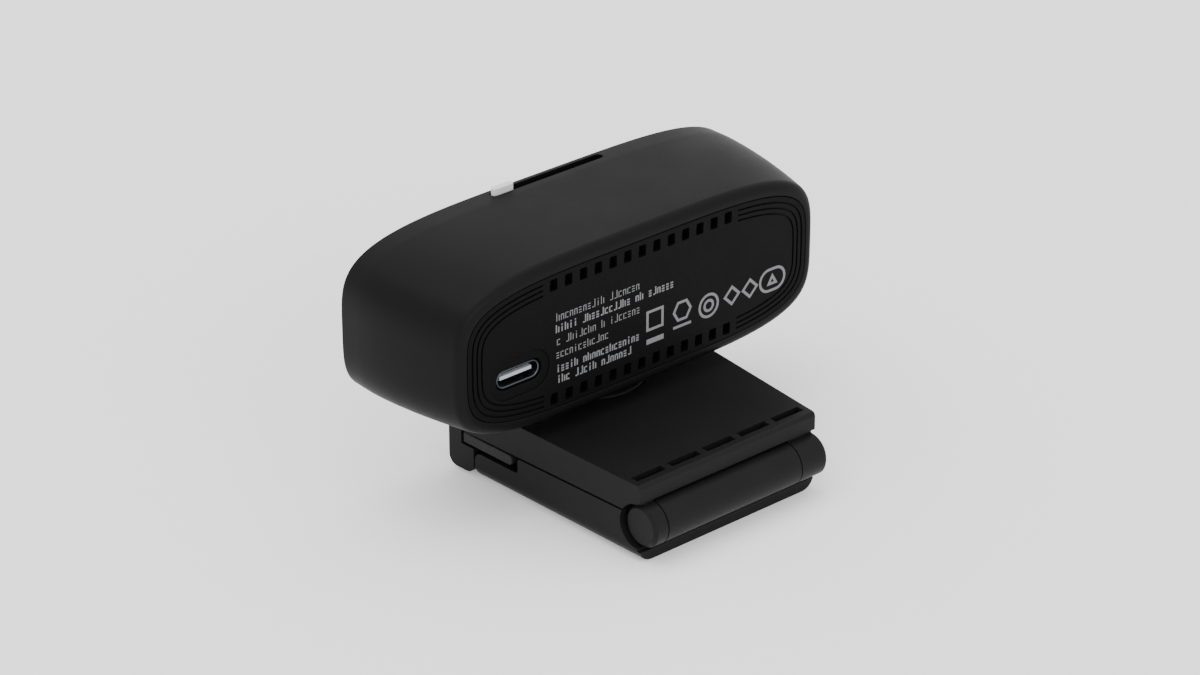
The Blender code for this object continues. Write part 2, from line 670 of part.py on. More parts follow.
def united(first, second):
    """One closed bmesh of two that overlap."""
    pieces = [finish(bm, "union_part", "inner_black", None) for bm in (first, second)]
    boolean = pieces[0].modifiers.new("join", "BOOLEAN")
    boolean.operation = "UNION"
    boolean.object = pieces[1]
    bpy.context.view_layer.update()
    graph = bpy.context.evaluated_depsgraph_get()
    bm = bmesh.new()
    bm.from_mesh(bpy.data.meshes.new_from_object(pieces[0].evaluated_get(graph)))
    for piece in pieces:
        bpy.data.objects.remove(piece)
    return bm


def plate_cover_bottom():
    """Underside of the plate's cover."""
    return PLATE_EDGE_REAR + PLATE_COVER_RISE


def make_clip_cover(body):
    """Flat cover that closes the plate from below."""
    front, rear = cover_span()
    front += GAP
    rear -= GAP
    low, high = plate_cover_bottom(), PLATE_COVER_TOP
    profile = [(front, low), (rear, low), (rear, high), (front, high)]
    cover = finish(flared(profile, PLATE_SIDE_WALL + GAP), "clip_cover", "inner_black", body)
    recess = low + CASE_SCREW_HEAD_HEIGHT + SEAT
    recess_radius = CASE_SCREW_HEAD_RADIUS + RUNNING
    for number, (x, y) in enumerate(clip_screw_places(), 1):
        cut(cover, screw_hole("Z", (x, y, 0), low - OVERCUT, high + OVERCUT))
        cut(cover, rod("Z", (x, y, 0), low - OVERCUT, recess, recess_radius, ROUND_SCREW))
        seat = (x, y, recess - SEAT)
        length = PLATE_TOP - PLATE_TOP_WALL - PILOT_STOP - SCREW_TIP_GAP - seat[2]
        screw(f"clip_cover_screw_{number}", "Z", seat, -1, CASE_SCREW_RADIUS, CASE_SCREW_HEAD_RADIUS,
              CASE_SCREW_HEAD_HEIGHT, length, body)


def pad_top():
    """Upper face of the grip pad."""
    return plate_edge(PLATE_FRONT_Y) - GAP


def pad_bottom():
    """Lower face of the grip pad."""
    return pad_top() - PAD_THICKNESS


def make_grip_pad(body):
    """Rubber tongue under the plate, held in the lip."""
    low, high = pad_bottom(), pad_top()
    profile = rounded(
        [
            (LIP_REAR_Y - PAD_EMBED, high, 0),
            (LIP_REAR_Y - PAD_EMBED, low, 0),
            (LIP_REAR_Y + PAD_REACH, low, PAD_END_RADIUS),
            (LIP_REAR_Y + PAD_REACH, high, PAD_END_RADIUS),
        ]
    )
    finish(flared(profile, PAD_SIDE_INSET), "grip_pad", "rubber", body)


def make_hinge_pin(body):
    """Pin through the knuckles, and the friction sleeve round one end of it."""
    centre = (0, BARREL_Y, BARREL_AXIS_Z)
    start = BARREL_RIGHT + KNUCKLE_END_WALL + GAP
    end = BARREL_LEFT - KNUCKLE_END_WALL - GAP
    finish(rod("X", centre, start, end, PIN_RADIUS), "hinge_pin", "steel", body)
    sleeve = ring("X", centre, start, SEAM_RIGHT - GAP, SLEEVE_RADIUS, PIN_RADIUS + RUNNING)
    finish(sleeve, "hinge_friction_sleeve", "steel", body)


# ---- leg ----


def leg_channel():
    """The leg's full length, with its lower side edges rounded."""
    rings = []
    top = LEG_EDGE_REAR + OVERCUT
    for y in (LEG_FRONT_Y - OVERCUT, PLATE_REAR_Y):
        half = clip_half_width(y)
        corners = [
            (half, top, 0),
            (-half, top, 0),
            (-half, 0, LEG_SIDE_FILLET),
            (half, 0, LEG_SIDE_FILLET),
        ]
        rings.append([(x, y, z) for x, z in rounded(corners)])
    return loft(rings)


def leg_screw_places():
    """Screws of the leg's cover."""
    return [
        (side * (clip_half_width(y) - LEG_WALL - LEG_SCREW_FROM_WALL), y)
        for side in (1, -1)
        for y in (LEG_STEP_Y + LEG_WALL + LEG_SCREW_FROM_STEP, CAVITY_REAR_Y - LEG_SCREW_FROM_REAR)
    ]


def leg_cover_top():
    """Upper face of the leg's cover."""
    return LEG_EDGE_FRONT - LEG_COVER_DROP


def make_leg(body):
    """Tray-shaped leg with its tip under the lip's pad and the middle barrel of the hinge."""
    profile = rounded(
        [
            (LEG_FRONT_Y, 0, LEG_END_RADIUS),
            (PLATE_REAR_Y, 0, 0),
            (PLATE_REAR_Y, leg_edge(PLATE_REAR_Y), 0),
            (LEG_STEP_Y, leg_edge(LEG_STEP_Y), LEG_STEP_RADIUS),
            (LEG_STEP_Y, LEG_TIP_HEIGHT, LEG_STEP_RADIUS),
            (LEG_FRONT_Y, LEG_TIP_HEIGHT, LEG_END_RADIUS),
        ]
    )
    leg = finish(leg_channel(), "leg_shell", "clip_black", body)
    combine(leg, flared(profile, -OVERCUT), "INTERSECT")

    front = LEG_STEP_Y + LEG_WALL
    rear = CAVITY_REAR_Y
    hollow = [(front, LEG_FLOOR), (rear, LEG_FLOOR), (rear, PLATE_TOP), (front, PLATE_TOP)]
    cut(leg, flared(hollow, LEG_WALL))

    boss_top = leg_cover_top() - LEG_COVER_THICKNESS - GAP
    boss_radius = CASE_SCREW_RADIUS + GAP + BOSS_WALL
    for x, y in leg_screw_places():
        join(leg, rod("Z", (x, y, 0), LEG_FLOOR - SINK, boss_top, boss_radius, ROUND_PIN))
        cut(leg, screw_hole("Z", (x, y, 0), LEG_FLOOR + PILOT_STOP, boss_top + OVERCUT))
    socket_top = GAP + INSERT_HEIGHT
    join(leg, rod("Z", (0, INSERT_Y, 0), LEG_FLOOR - SINK, socket_top, INSERT_RADIUS + GAP + INSERT_WALL))
    cut(leg, rod("Z", (0, INSERT_Y, 0), -OVERCUT, socket_top + OVERCUT, INSERT_RADIUS + GAP))

    # The side walls end in an arc round the hinge, and the rear edge steps down under the barrel
    centre = (0, BARREL_Y, BARREL_AXIS_Z)
    reach = PLATE_HALF_WIDTH + 3 * OVERCUT
    cut(leg, rod("X", centre, -reach, reach, BARREL_BORE, ROUND_LARGE))
    cut(leg, box((-reach, BARREL_Y - RUNNING, LEG_REAR_STEP), (reach, PLATE_REAR_Y + OVERCUT, PLATE_TOP)))
    join(leg, middle_barrel())
    cut(leg, rod("X", centre, SEAM_RIGHT - OVERCUT, SEAM_LEFT + OVERCUT, PIN_RADIUS + RUNNING))

    insert = ring("Z", (0, INSERT_Y, 0), RUNNING, RUNNING + INSERT_HEIGHT, INSERT_RADIUS, INSERT_BORE)
    finish(insert, "tripod_insert", "brass", body)


def middle_barrel():
    """The leg's barrel between the knuckles, with the web under it."""
    start = SEAM_RIGHT + RUNNING / 2
    end = SEAM_LEFT - RUNNING / 2
    centre = (0, BARREL_Y, BARREL_AXIS_Z)
    bm = rod("X", centre, start, end, BARREL_RADIUS, ROUND_LENS)
    web = box(
        (start, BARREL_Y - BARREL_BORE - SINK, LEG_FLOOR - SINK),
        (end, BARREL_Y - BARREL_WEB_BACK, BARREL_AXIS_Z - SINK),
    )
    return united(bm, web)


def make_leg_cover(body):
    """Cover of the leg's hollow, with a rubber pad let into it."""
    front = LEG_STEP_Y + LEG_WALL + GAP
    rear = CAVITY_REAR_Y - GAP
    high = leg_cover_top()
    low = high - LEG_COVER_THICKNESS
    profile = [(front, low), (rear, low), (rear, high), (front, high)]
    cover = finish(flared(profile, LEG_WALL + GAP), "leg_cover", "inner_black", body)
    recess = high - CASE_SCREW_HEAD_HEIGHT - SEAT
    recess_radius = CASE_SCREW_HEAD_RADIUS + RUNNING
    for number, (x, y) in enumerate(leg_screw_places(), 1):
        cut(cover, screw_hole("Z", (x, y, 0), low - OVERCUT, high + OVERCUT))
        cut(cover, rod("Z", (x, y, 0), recess, high + OVERCUT, recess_radius, ROUND_SCREW))
        seat = (x, y, recess + SEAT)
        length = seat[2] - LEG_FLOOR - PILOT_STOP - SCREW_TIP_GAP
        screw(f"leg_cover_screw_{number}", "Z", seat, 1, CASE_SCREW_RADIUS, CASE_SCREW_HEAD_RADIUS,
              CASE_SCREW_HEAD_HEIGHT, length, body)

    middle = (front + rear) / 2
    half_x = PLATE_HALF_WIDTH - LEG_WALL - LEG_PAD_MARGIN - 2 * CASE_SCREW_HEAD_RADIUS
    pocket_low = (-half_x - GAP, middle - LEG_PAD_LENGTH / 2 - GAP, high - LEG_PAD_POCKET)
    pocket_high = (half_x + GAP, middle + LEG_PAD_LENGTH / 2 + GAP, high + OVERCUT)
    cut(cover, box(pocket_low, pocket_high))
    pad_low = high - LEG_PAD_POCKET + SEAT
    pad = box(
        (-half_x, middle - LEG_PAD_LENGTH / 2, pad_low),
        (half_x, middle + LEG_PAD_LENGTH / 2, pad_low + LEG_PAD_THICKNESS),
    )
    finish(pad, "leg_pad", "rubber", body)


# ---- swivel ----


def make_swivel(body):
    """Disc in the plate's seat, with the neck that carries the head, and its fixing from below."""
    top = SWIVEL_TOP
    bottom = top - SWIVEL_THICKNESS
    profile = [
        (SEAT_UNDERSIDE, SPIGOT_RADIUS),
        (bottom, SPIGOT_RADIUS),
        (bottom, SWIVEL_RADIUS),
        (top - SWIVEL_EDGE, SWIVEL_RADIUS),
        (top, SWIVEL_RADIUS - SWIVEL_EDGE),
        (top, NECK_COLLAR_RADIUS),
        (top + NECK_COLLAR_HEIGHT, NECK_RADIUS + NECK_COLLAR_RIM),
    ]
    base = finish(loft(turned("Z", (0, 0, 0), profile, ROUND_LARGE)), "swivel_base", "clip_black", body)
    arch = [(-NECK_RADIUS, top - SINK), (NECK_RADIUS, top - SINK)]
    for k in range(NECK_STEPS + 1):
        angle = math.pi * k / NECK_STEPS
        arch.append((NECK_RADIUS * math.cos(angle), TILT_Z + NECK_RADIUS * math.sin(angle)))
    neck = loft([[(x, y, z) for y, z in arch] for x in (-NECK_HALF_WIDTH, NECK_HALF_WIDTH)])
    join(base, neck)
    screw_top = SEAT_UNDERSIDE + SWIVEL_SCREW_LENGTH
    screw_bore = SWIVEL_SCREW_RADIUS + RUNNING
    cut(base, rod("Z", (0, 0, 0), SEAT_UNDERSIDE - OVERCUT, screw_top, screw_bore, ROUND_PIN))
    reach = NECK_HALF_WIDTH + OVERCUT
    cut(base, rod("X", (0, 0, TILT_Z), -reach, reach, TILT_PIN_RADIUS + RUNNING, ROUND_PIN))

    washer_top = SEAT_UNDERSIDE - GAP
    washer_bottom = washer_top - SWIVEL_WASHER_THICKNESS
    washer = ring("Z", (0, 0, 0), washer_bottom, washer_top, SWIVEL_WASHER_RADIUS, screw_bore)
    finish(washer, "swivel_washer", "steel", body)
    seat = (0, 0, SWIVEL_SCREW_SEAT)
    length = screw_top - GAP - seat[2]
    screw("swivel_screw", "Z", seat, -1, SWIVEL_SCREW_RADIUS, SWIVEL_SCREW_HEAD_RADIUS,
          SWIVEL_SCREW_HEAD_HEIGHT, length, body)


# ---- head ----


def make_body_shell(body):
    """Hollow casing: a straight band behind the rim, then a taper with a round shoulder at the rear."""
    outer = []
    first_x, first_z = head_section(FRONT_Y)
    outer.append((FRONT_Y, first_x - RIM_CHAMFER, first_z - RIM_CHAMFER))
    stations = [FRONT_Y + RIM_CHAMFER, FRONT_Y + BAND_DEPTH]
    span = REAR_Y - TOP_SHOULDER - (FRONT_Y + BAND_DEPTH)
    stations += [FRONT_Y + BAND_DEPTH + span * k / TAPER_STEPS for k in range(1, TAPER_STEPS + 1)]
    stations += [REAR_Y - TOP_SHOULDER * (1 - math.sin(math.radians(angle))) for angle in SHOULDER_ANGLES]
    for y in stations:
        outer.append((y, *head_section(y)))

    ledge_y = REAR_Y - PANEL_THICKNESS - SEAT
    opening_x = REAR_HALF_WIDTH - REAR_LIP
    opening_z = REAR_HALF_HEIGHT - REAR_LIP
    inner = [
        (REAR_Y, opening_x, opening_z),
        (ledge_y, opening_x, opening_z),
        (ledge_y, opening_x - REAR_LEDGE, opening_z - REAR_LEDGE),
        (ledge_y - REAR_LEDGE, opening_x - REAR_LEDGE, opening_z - REAR_LEDGE),
    ]
    seat_y = FRAME_BACK + GAP
    depth = ledge_y - 2 * REAR_LEDGE - seat_y
    for k in range(WALL_STEPS, -1, -1):
        y = seat_y + depth * k / WALL_STEPS
        half_x, half_z = head_section(y)
        inner.append((y, half_x - SHELL_WALL, half_z - SHELL_WALL))
    inner.append((seat_y, first_x - RIM_WALL, first_z - RIM_WALL))
    inner.append((FRONT_Y, first_x - RIM_WALL, first_z - RIM_WALL))
    rings = [head_ring(*station) for station in outer + inner]
    shell = finish(loft(rings, closed=True), "body_shell", "satin_black", body)

    slot = stadium(2 * SHUTTER_SLOT_HALF_LENGTH, SHUTTER_SLOT_WIDTH)
    levels = (HEAD_Z + HEAD_HALF_HEIGHT / 2, HEAD_Z + HEAD_HALF_HEIGHT + OVERCUT)
    cut(shell, loft([[(x, SHUTTER_Y + y, z) for x, y in slot] for z in levels]))

    # Opening for the neck, long enough for the tilt
    collar_drop = TILT_Z - SWIVEL_TOP - NECK_COLLAR_HEIGHT
    collar_reach = (NECK_RADIUS + NECK_COLLAR_RIM) * math.cos(TILT_UP) + collar_drop * math.sin(TILT_UP)
    half_depth = collar_reach + GAP
    half_x = NECK_HALF_WIDTH + GAP
    bottom = HEAD_Z - HEAD_HALF_HEIGHT
    cut(shell, box((-half_x, -half_depth, bottom - OVERCUT), (half_x, half_depth, FLOOR_Z + OVERCUT)))

    for side in (1, -1):
        at = (side * BRACKET_SCREW_X, 0, 0)
        cut(shell, screw_hole("Z", at, bottom + FLOOR_PILOT_STOP, FLOOR_Z + OVERCUT))


def make_rear_panel(body):
    """Flat rear cover with two rows of vents and the inlet's recess and hole."""
    half_x = REAR_HALF_WIDTH - REAR_LIP - RUNNING
    half_z = REAR_HALF_HEIGHT - REAR_LIP - RUNNING
    rings = [head_ring(y, half_x, half_z) for y in (REAR_Y - PANEL_THICKNESS, REAR_Y)]
    panel = finish(loft(rings), "rear_panel", "panel_black", body)
    for side in (1, -1):
        z = HEAD_Z + side * (REAR_HALF_HEIGHT - VENT_INSET)
        for k in range(VENT_COUNT):
            x = (k - (VENT_COUNT - 1) / 2) * VENT_PITCH
            cut(panel, centred_box((x, REAR_Y, z), (VENT_WIDTH, 4 * PANEL_THICKNESS, VENT_HEIGHT)))
    width, height, depth = USB_RECESS
    cut(panel, slot_along_y(USB_X, USB_Z, width, height, REAR_Y - depth, REAR_Y + OVERCUT))
    width, height = (size + 2 * GAP for size in USB_SHELL)
    cut(panel, slot_along_y(USB_X, USB_Z, width, height, REAR_Y - 2 * PANEL_THICKNESS, REAR_Y))


def make_front(body):
    """Glossy window, lens bezel and cover, and the frame behind them."""
    outline_x = HEAD_HALF_WIDTH - RIM_WALL - RUNNING
    outline_z = HEAD_HALF_HEIGHT - RIM_WALL - RUNNING
    front = FRONT_Y + WINDOW_RECESS
    window_rings = [head_ring(y, outline_x, outline_z) for y in (front, WINDOW_BACK)]
    window = finish(loft(window_rings), "front_window", "window_black", body)
    lens = (0, 0, HEAD_Z)
    window_bore = BEZEL_RADIUS + RUNNING
    cut(window, rod("Y", lens, front - OVERCUT, WINDOW_BACK + OVERCUT, window_bore, ROUND_LARGE))
    bezel = ring("Y", lens, FRONT_Y, WINDOW_BACK, BEZEL_RADIUS, BEZEL_INNER_RADIUS, ROUND_LARGE)
    finish(bezel, "lens_bezel", "steel", body)
    cover_front = WINDOW_BACK - LENS_COVER_THICKNESS
    cover = rod("Y", lens, cover_front, WINDOW_BACK, BEZEL_INNER_RADIUS - RUNNING, ROUND_LENS)
    finish(cover, "lens_cover", "glass", body)

    # Frame: a plate with a forward rim, which leaves way for the shutter's stem
    frame_rings = [head_ring(y, outline_x, outline_z) for y in (WINDOW_BACK + GAP, FRAME_BACK)]
    frame = finish(loft(frame_rings), "front_frame", "inner_black", body)
    hollow_x, hollow_z = outline_x - FRAME_RIM, outline_z - FRAME_RIM
    cut(frame, loft([head_ring(y, hollow_x, hollow_z) for y in (FRONT_Y, FRAME_FRONT)]))
    stem_way = SHUTTER_SLOT_HALF_LENGTH + OVERCUT
    cut(frame, box((-stem_way, FRONT_Y, HEAD_Z), (stem_way, FRAME_FRONT, HEAD_Z + HEAD_HALF_HEIGHT)))
    cut(frame, rod("Y", lens, FRONT_Y, 0, LENS_RADIUS + GAP, ROUND_LENS))
    pipe_at = (LED_X, 0, HEAD_Z)
    before = FRONT_Y - OVERCUT
    for piece in (window, frame):
        cut(piece, rod("Y", pipe_at, before, 0, LIGHT_PIPE_RADIUS + RUNNING, ROUND_SCREW))
        for side in (1, -1):
            cut(piece, rod("Y", (side * MIC_X, 0, HEAD_Z), before, 0, MIC_PORT_RADIUS, ROUND_PORT))
    for x, z in board_screw_places():
        join(frame, rod("Y", (x, 0, z), FRAME_BACK - SINK, BOARD_Y - GAP, PILLAR_RADIUS, ROUND_PIN))
        cut(frame, screw_hole("Y", (x, 0, z), BOARD_Y - PILLAR_BORE_DEPTH, BOARD_Y))

    pipe = rod("Y", pipe_at, front, FRAME_BACK, LIGHT_PIPE_RADIUS, ROUND_SCREW)
    finish(pipe, "light_pipe", "clear", body)
    led_y = FRAME_BACK + GAP + LED_SIZE[2] / 2
    led = centred_box((LED_X, led_y, HEAD_Z), (LED_SIZE[0], LED_SIZE[2], LED_SIZE[1]))
    finish(led, "status_led", "light_grey", body)
    gasket_span = (WINDOW_BACK + RUNNING, FRAME_FRONT - RUNNING)
    mic_y = FRAME_BACK + GAP + MIC_SIZE[2] / 2
    for side, name in ((1, "left"), (-1, "right")):
        at = (side * MIC_X, 0, HEAD_Z)
        gasket = ring("Y", at, *gasket_span, GASKET_RADIUS, MIC_PORT_RADIUS, ROUND_PIN)
        finish(gasket, f"mic_gasket_{name}", "rubber", body)
        microphone = centred_box((at[0], mic_y, HEAD_Z), (MIC_SIZE[0], MIC_SIZE[2], MIC_SIZE[1]))
        finish(microphone, f"microphone_{name}", "steel", body)


def make_lens(body):
    """Lens holder on the board, threaded barrel and its front element, and the sensor."""
    lens = (0, 0, HEAD_Z)
    holder_front = BOARD_Y - GAP - HOLDER_LENGTH
    half = HOLDER_HALF_SIZE
    block = box((-half, holder_front, HEAD_Z - half), (half, BOARD_Y - GAP, HEAD_Z + half))
    holder = finish(block, "lens_holder", "inner_black", body)
    cut(holder, rod("Y", lens, holder_front - OVERCUT, BOARD_Y, HOLDER_BORE, ROUND_LENS))
    barrel_end = BOARD_Y - GAP - HOLDER_LENGTH / 2
    barrel = ring("Y", lens, LENS_FRONT, barrel_end, LENS_RADIUS, LENS_RADIUS - LENS_WALL, ROUND_LENS)
    finish(barrel, "lens_barrel", "inner_black", body)
    glass_radius = LENS_RADIUS - LENS_WALL - RUNNING
    glass_front = LENS_FRONT + SEAT
    dome = [
        (glass_front, LENS_GLASS_FLAT * glass_radius),
        (glass_front + LENS_GLASS_CROWN, glass_radius),
        (glass_front + LENS_GLASS_THICKNESS, glass_radius),
    ]
    finish(loft(turned("Y", lens, dome, ROUND_LENS)), "lens_glass", "glass", body)
    width, height, depth = SENSOR
    sensor = centred_box((0, BOARD_Y - GAP - depth / 2, HEAD_Z), (width, depth, height))
    finish(sensor, "image_sensor", "chip_black", body)


def board_screw_places():
    """Screws that hold the board on the frame's pillars."""
    x = BOARD_HALF_WIDTH - BOARD_SCREW_INSET
    z = BOARD_HALF_HEIGHT - BOARD_SCREW_INSET
    return [(sx * x, HEAD_Z + sz * z) for sx in (1, -1) for sz in (1, -1)]


def make_board(body):
    """Circuit board with its chip, screws and the USB-C inlet."""
    low = (-BOARD_HALF_WIDTH, BOARD_Y, HEAD_Z - BOARD_HALF_HEIGHT)
    high = (BOARD_HALF_WIDTH, BOARD_BACK, HEAD_Z + BOARD_HALF_HEIGHT)
    board = finish(box(low, high), "main_board", "board_green", body)
    for number, (x, z) in enumerate(board_screw_places(), 1):
        cut(board, screw_hole("Y", (x, 0, z), BOARD_Y - OVERCUT, BOARD_BACK + OVERCUT))
        screw(f"board_screw_{number}", "Y", (x, BOARD_BACK + SEAT, z), 1, CASE_SCREW_RADIUS,
              CASE_SCREW_HEAD_RADIUS, 2 * CASE_SCREW_HEAD_HEIGHT, BOARD_SCREW_LENGTH, body)
    width, height, depth = CHIP
    chip = centred_box((CHIP_X, BOARD_BACK + SEAT + depth / 2, HEAD_Z), (width, depth, height))
    finish(chip, "processor_chip", "chip_black", body)

    start, end = BOARD_BACK + SEAT, REAR_Y - USB_MOUTH
    width, height = USB_SHELL
    usb = finish(slot_along_y(USB_X, USB_Z, width, height, start, end), "usb_c_shell", "steel", body)
    inner_width, inner_height = width - 2 * USB_SHELL_WALL, height - 2 * USB_SHELL_WALL
    floor = start + USB_BACK_WALL
    cut(usb, slot_along_y(USB_X, USB_Z, inner_width, inner_height, floor, end + OVERCUT))
    length = end - USB_TONGUE_INSET - floor - SEAT
    width, height = USB_TONGUE
    tongue = centred_box((USB_X, floor + SEAT + length / 2, USB_Z), (width, length, height))
    finish(tongue, "usb_c_tongue", "chip_black", body)


def make_tilt_bracket(body):
    """Steel bracket on the shell's floor that carries the tilt pin, with its washers and screws."""
    base_low = HEAD_Z - head_section(BRACKET_HALF_DEPTH)[1] + SHELL_WALL + GAP
    base_high = base_low + BRACKET_THICKNESS
    ear_inner = NECK_HALF_WIDTH + 2 * RUNNING + TILT_WASHER_THICKNESS
    ear_outer = ear_inner + BRACKET_THICKNESS
    length, depth = BRACKET_HALF_LENGTH, BRACKET_HALF_DEPTH
    base = box((-length, -depth, base_low), (length, depth, base_high))
    bracket = finish(base, "tilt_bracket", "steel", body)
    way_y = NECK_RADIUS + (TILT_Z - FLOOR_Z) * math.tan(TILT_UP)
    cut(bracket, box((-ear_inner, -way_y, base_low - OVERCUT), (ear_inner, way_y, base_high + OVERCUT)))
    ear_top = TILT_Z + TILT_PIN_RADIUS + RUNNING + BRACKET_THICKNESS
    for side in (1, -1):
        low = min(side * ear_inner, side * ear_outer)
        high = max(side * ear_inner, side * ear_outer)
        join(bracket, box((low, -EAR_HALF_DEPTH, base_high - SINK), (high, EAR_HALF_DEPTH, ear_top)))
    reach = ear_outer + OVERCUT
    cut(bracket, rod("X", (0, 0, TILT_Z), -reach, reach, TILT_PIN_RADIUS + RUNNING, ROUND_PIN))
    pin_half = ear_outer + TILT_PIN_PROUD
    pin = rod("X", (0, 0, TILT_Z), -pin_half, pin_half, TILT_PIN_RADIUS, ROUND_PIN)
    finish(pin, "tilt_pin", "steel", body)
    for side, name in ((1, "left"), (-1, "right")):
        start = side * (NECK_HALF_WIDTH + RUNNING)
        end = side * (NECK_HALF_WIDTH + RUNNING + TILT_WASHER_THICKNESS)
        bore = TILT_PIN_RADIUS + RUNNING
        washer = ring("X", (0, 0, TILT_Z), start, end, TILT_WASHER_RADIUS, bore, ROUND_PIN)
        finish(washer, f"tilt_washer_{name}", "steel", body)
    length = base_high + SEAT - (FLOOR_Z - SHELL_WALL + FLOOR_PILOT_STOP + RUNNING)
    for number, side in enumerate((1, -1), 1):
        x = side * BRACKET_SCREW_X
        cut(bracket, screw_hole("Z", (x, 0, 0), base_low - OVERCUT, base_high + OVERCUT))
        screw(f"bracket_screw_{number}", "Z", (x, 0, base_high + SEAT), 1, CASE_SCREW_RADIUS,
              CASE_SCREW_HEAD_RADIUS, 2 * CASE_SCREW_HEAD_HEIGHT, length, body)


# ---- shutter ----


def make_shutter(body):
    """Sliding cover of the lens: a blade with an arm, and the knob in the top slot."""
    half = SHUTTER_BLADE_HALF
    front = SHUTTER_Y - SHUTTER_BLADE_THICKNESS / 2
    blade_x = SHUTTER_TRAVEL
    arm_top = HEAD_Z + half + SHUTTER_ARM_HEIGHT
    plate = box((blade_x - half, front, HEAD_Z - half), (blade_x + half, BLADE_BACK, arm_top))
    blade = finish(plate, "shutter_blade", "inner_black", body)
    arm_start = SHUTTER_REST_X - SHUTTER_STEM_WIDTH / 2
    join(blade, box((arm_start, front, HEAD_Z + half), (blade_x, BLADE_BACK, arm_top)))
    knob_bottom = HEAD_Z + HEAD_HALF_HEIGHT - SHELL_WALL - SHUTTER_KNOB_ROOT
    stem_end = (arm_start + SHUTTER_STEM_WIDTH, BLADE_BACK, knob_bottom - GAP)
    join(blade, box((arm_start, front, arm_top - SINK), stem_end))

    half_length = SHUTTER_KNOB_LENGTH / 2
    half_width = SHUTTER_SLOT_WIDTH / 2 - RUNNING
    corner = half_width * SHUTTER_KNOB_CORNER
    outline = [
        (-half_length, -half_width + corner),
        (-half_length + corner, -half_width),
        (half_length - corner, -half_width),
        (half_length, -half_width + corner),
        (half_length, half_width - corner),
        (half_length - corner, half_width),
        (-half_length + corner, half_width),
        (-half_length, half_width - corner),
    ]
    top = HEAD_Z + HEAD_HALF_HEIGHT + SHUTTER_KNOB_PROUD
    rings = [[(SHUTTER_REST_X + x, SHUTTER_Y + y, z) for x, y in outline] for z in (knob_bottom, top)]
    finish(loft(rings), "shutter_knob", "light_grey", body)


def clear_scene():
    """Removes what the startup scene holds."""
    for piece in list(bpy.data.objects):
        bpy.data.objects.remove(piece)


def main():
    """Builds the bodies and their pieces at rest."""
    clear_scene()
    clip = add_body("clip", (0, 0, 0))
    leg = add_body("leg", (0, BARREL_Y, BARREL_AXIS_Z))
    swivel = add_body("swivel", (0, 0, PLATE_TOP))
    head = add_body("head", (0, 0, TILT_Z))
    shutter = add_body("shutter", (SHUTTER_REST_X, SHUTTER_Y, HEAD_Z + HEAD_HALF_HEIGHT))

    make_clip_plate(clip)
    make_clip_cover(clip)
    make_grip_pad(clip)
    make_hinge_pin(clip)
    make_leg(leg)
    make_leg_cover(leg)
    make_swivel(swivel)
    make_body_shell(head)
    make_rear_panel(head)
    make_front(head)
    make_lens(head)
    make_board(head)
    make_tilt_bracket(head)
    make_shutter(shutter)


main()
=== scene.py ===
"""Looks of the webcam on its folding monitor clip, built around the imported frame.

Metres, +Z up. The lens looks along -Y and the inlet faces +Y. Each sub-assembly is a class that holds its
sizes, builds its meshes and dresses them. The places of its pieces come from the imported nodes' own boxes.
"""

import json
import logging
import math
from dataclasses import dataclass
from enum import Enum
from typing import Any, Sequence

import bmesh
import bpy
from mathutils import Matrix, Vector

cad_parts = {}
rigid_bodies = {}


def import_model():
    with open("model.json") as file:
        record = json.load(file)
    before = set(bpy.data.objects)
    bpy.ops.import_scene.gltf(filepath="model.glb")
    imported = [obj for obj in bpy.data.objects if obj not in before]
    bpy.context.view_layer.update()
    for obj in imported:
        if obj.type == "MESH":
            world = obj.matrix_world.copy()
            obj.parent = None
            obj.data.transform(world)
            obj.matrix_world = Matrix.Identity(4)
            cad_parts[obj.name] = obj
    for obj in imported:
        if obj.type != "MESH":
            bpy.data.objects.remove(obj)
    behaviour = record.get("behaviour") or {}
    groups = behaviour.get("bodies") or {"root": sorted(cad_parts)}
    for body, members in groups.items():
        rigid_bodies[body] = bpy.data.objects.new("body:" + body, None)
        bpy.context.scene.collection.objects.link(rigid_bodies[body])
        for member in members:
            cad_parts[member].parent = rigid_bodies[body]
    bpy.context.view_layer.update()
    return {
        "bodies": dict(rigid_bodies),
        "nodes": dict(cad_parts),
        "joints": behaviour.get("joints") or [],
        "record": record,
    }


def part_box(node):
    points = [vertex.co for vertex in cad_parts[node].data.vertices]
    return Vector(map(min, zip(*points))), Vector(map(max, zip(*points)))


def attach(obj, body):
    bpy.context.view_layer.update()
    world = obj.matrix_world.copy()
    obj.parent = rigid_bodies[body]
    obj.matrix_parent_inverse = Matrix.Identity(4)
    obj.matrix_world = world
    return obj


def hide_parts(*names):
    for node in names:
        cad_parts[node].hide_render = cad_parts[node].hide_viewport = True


MM = 1e-3
SMOOTH_ANGLE = math.radians(32)
MERGE_WITHIN = 1e-6

Point = tuple[float, float, float]
Flat = tuple[float, float]
Colour = tuple[float, float, float]

log = logging.getLogger("webcam")


# ---- shapes ----


class Axis(Enum):
    """The axis that a round piece is turned about, with two directions across it."""

    X = ((1, 0, 0), (0, 0, 1))
    Y = ((0, 1, 0), (0, 0, 1))
    Z = ((0, 0, 1), (1, 0, 0))

    def basis(self) -> tuple[Vector, Vector, Vector]:
        """The axis and two directions square to it."""
        along, across = (Vector(direction) for direction in self.value)
        return along, across, along.cross(across)


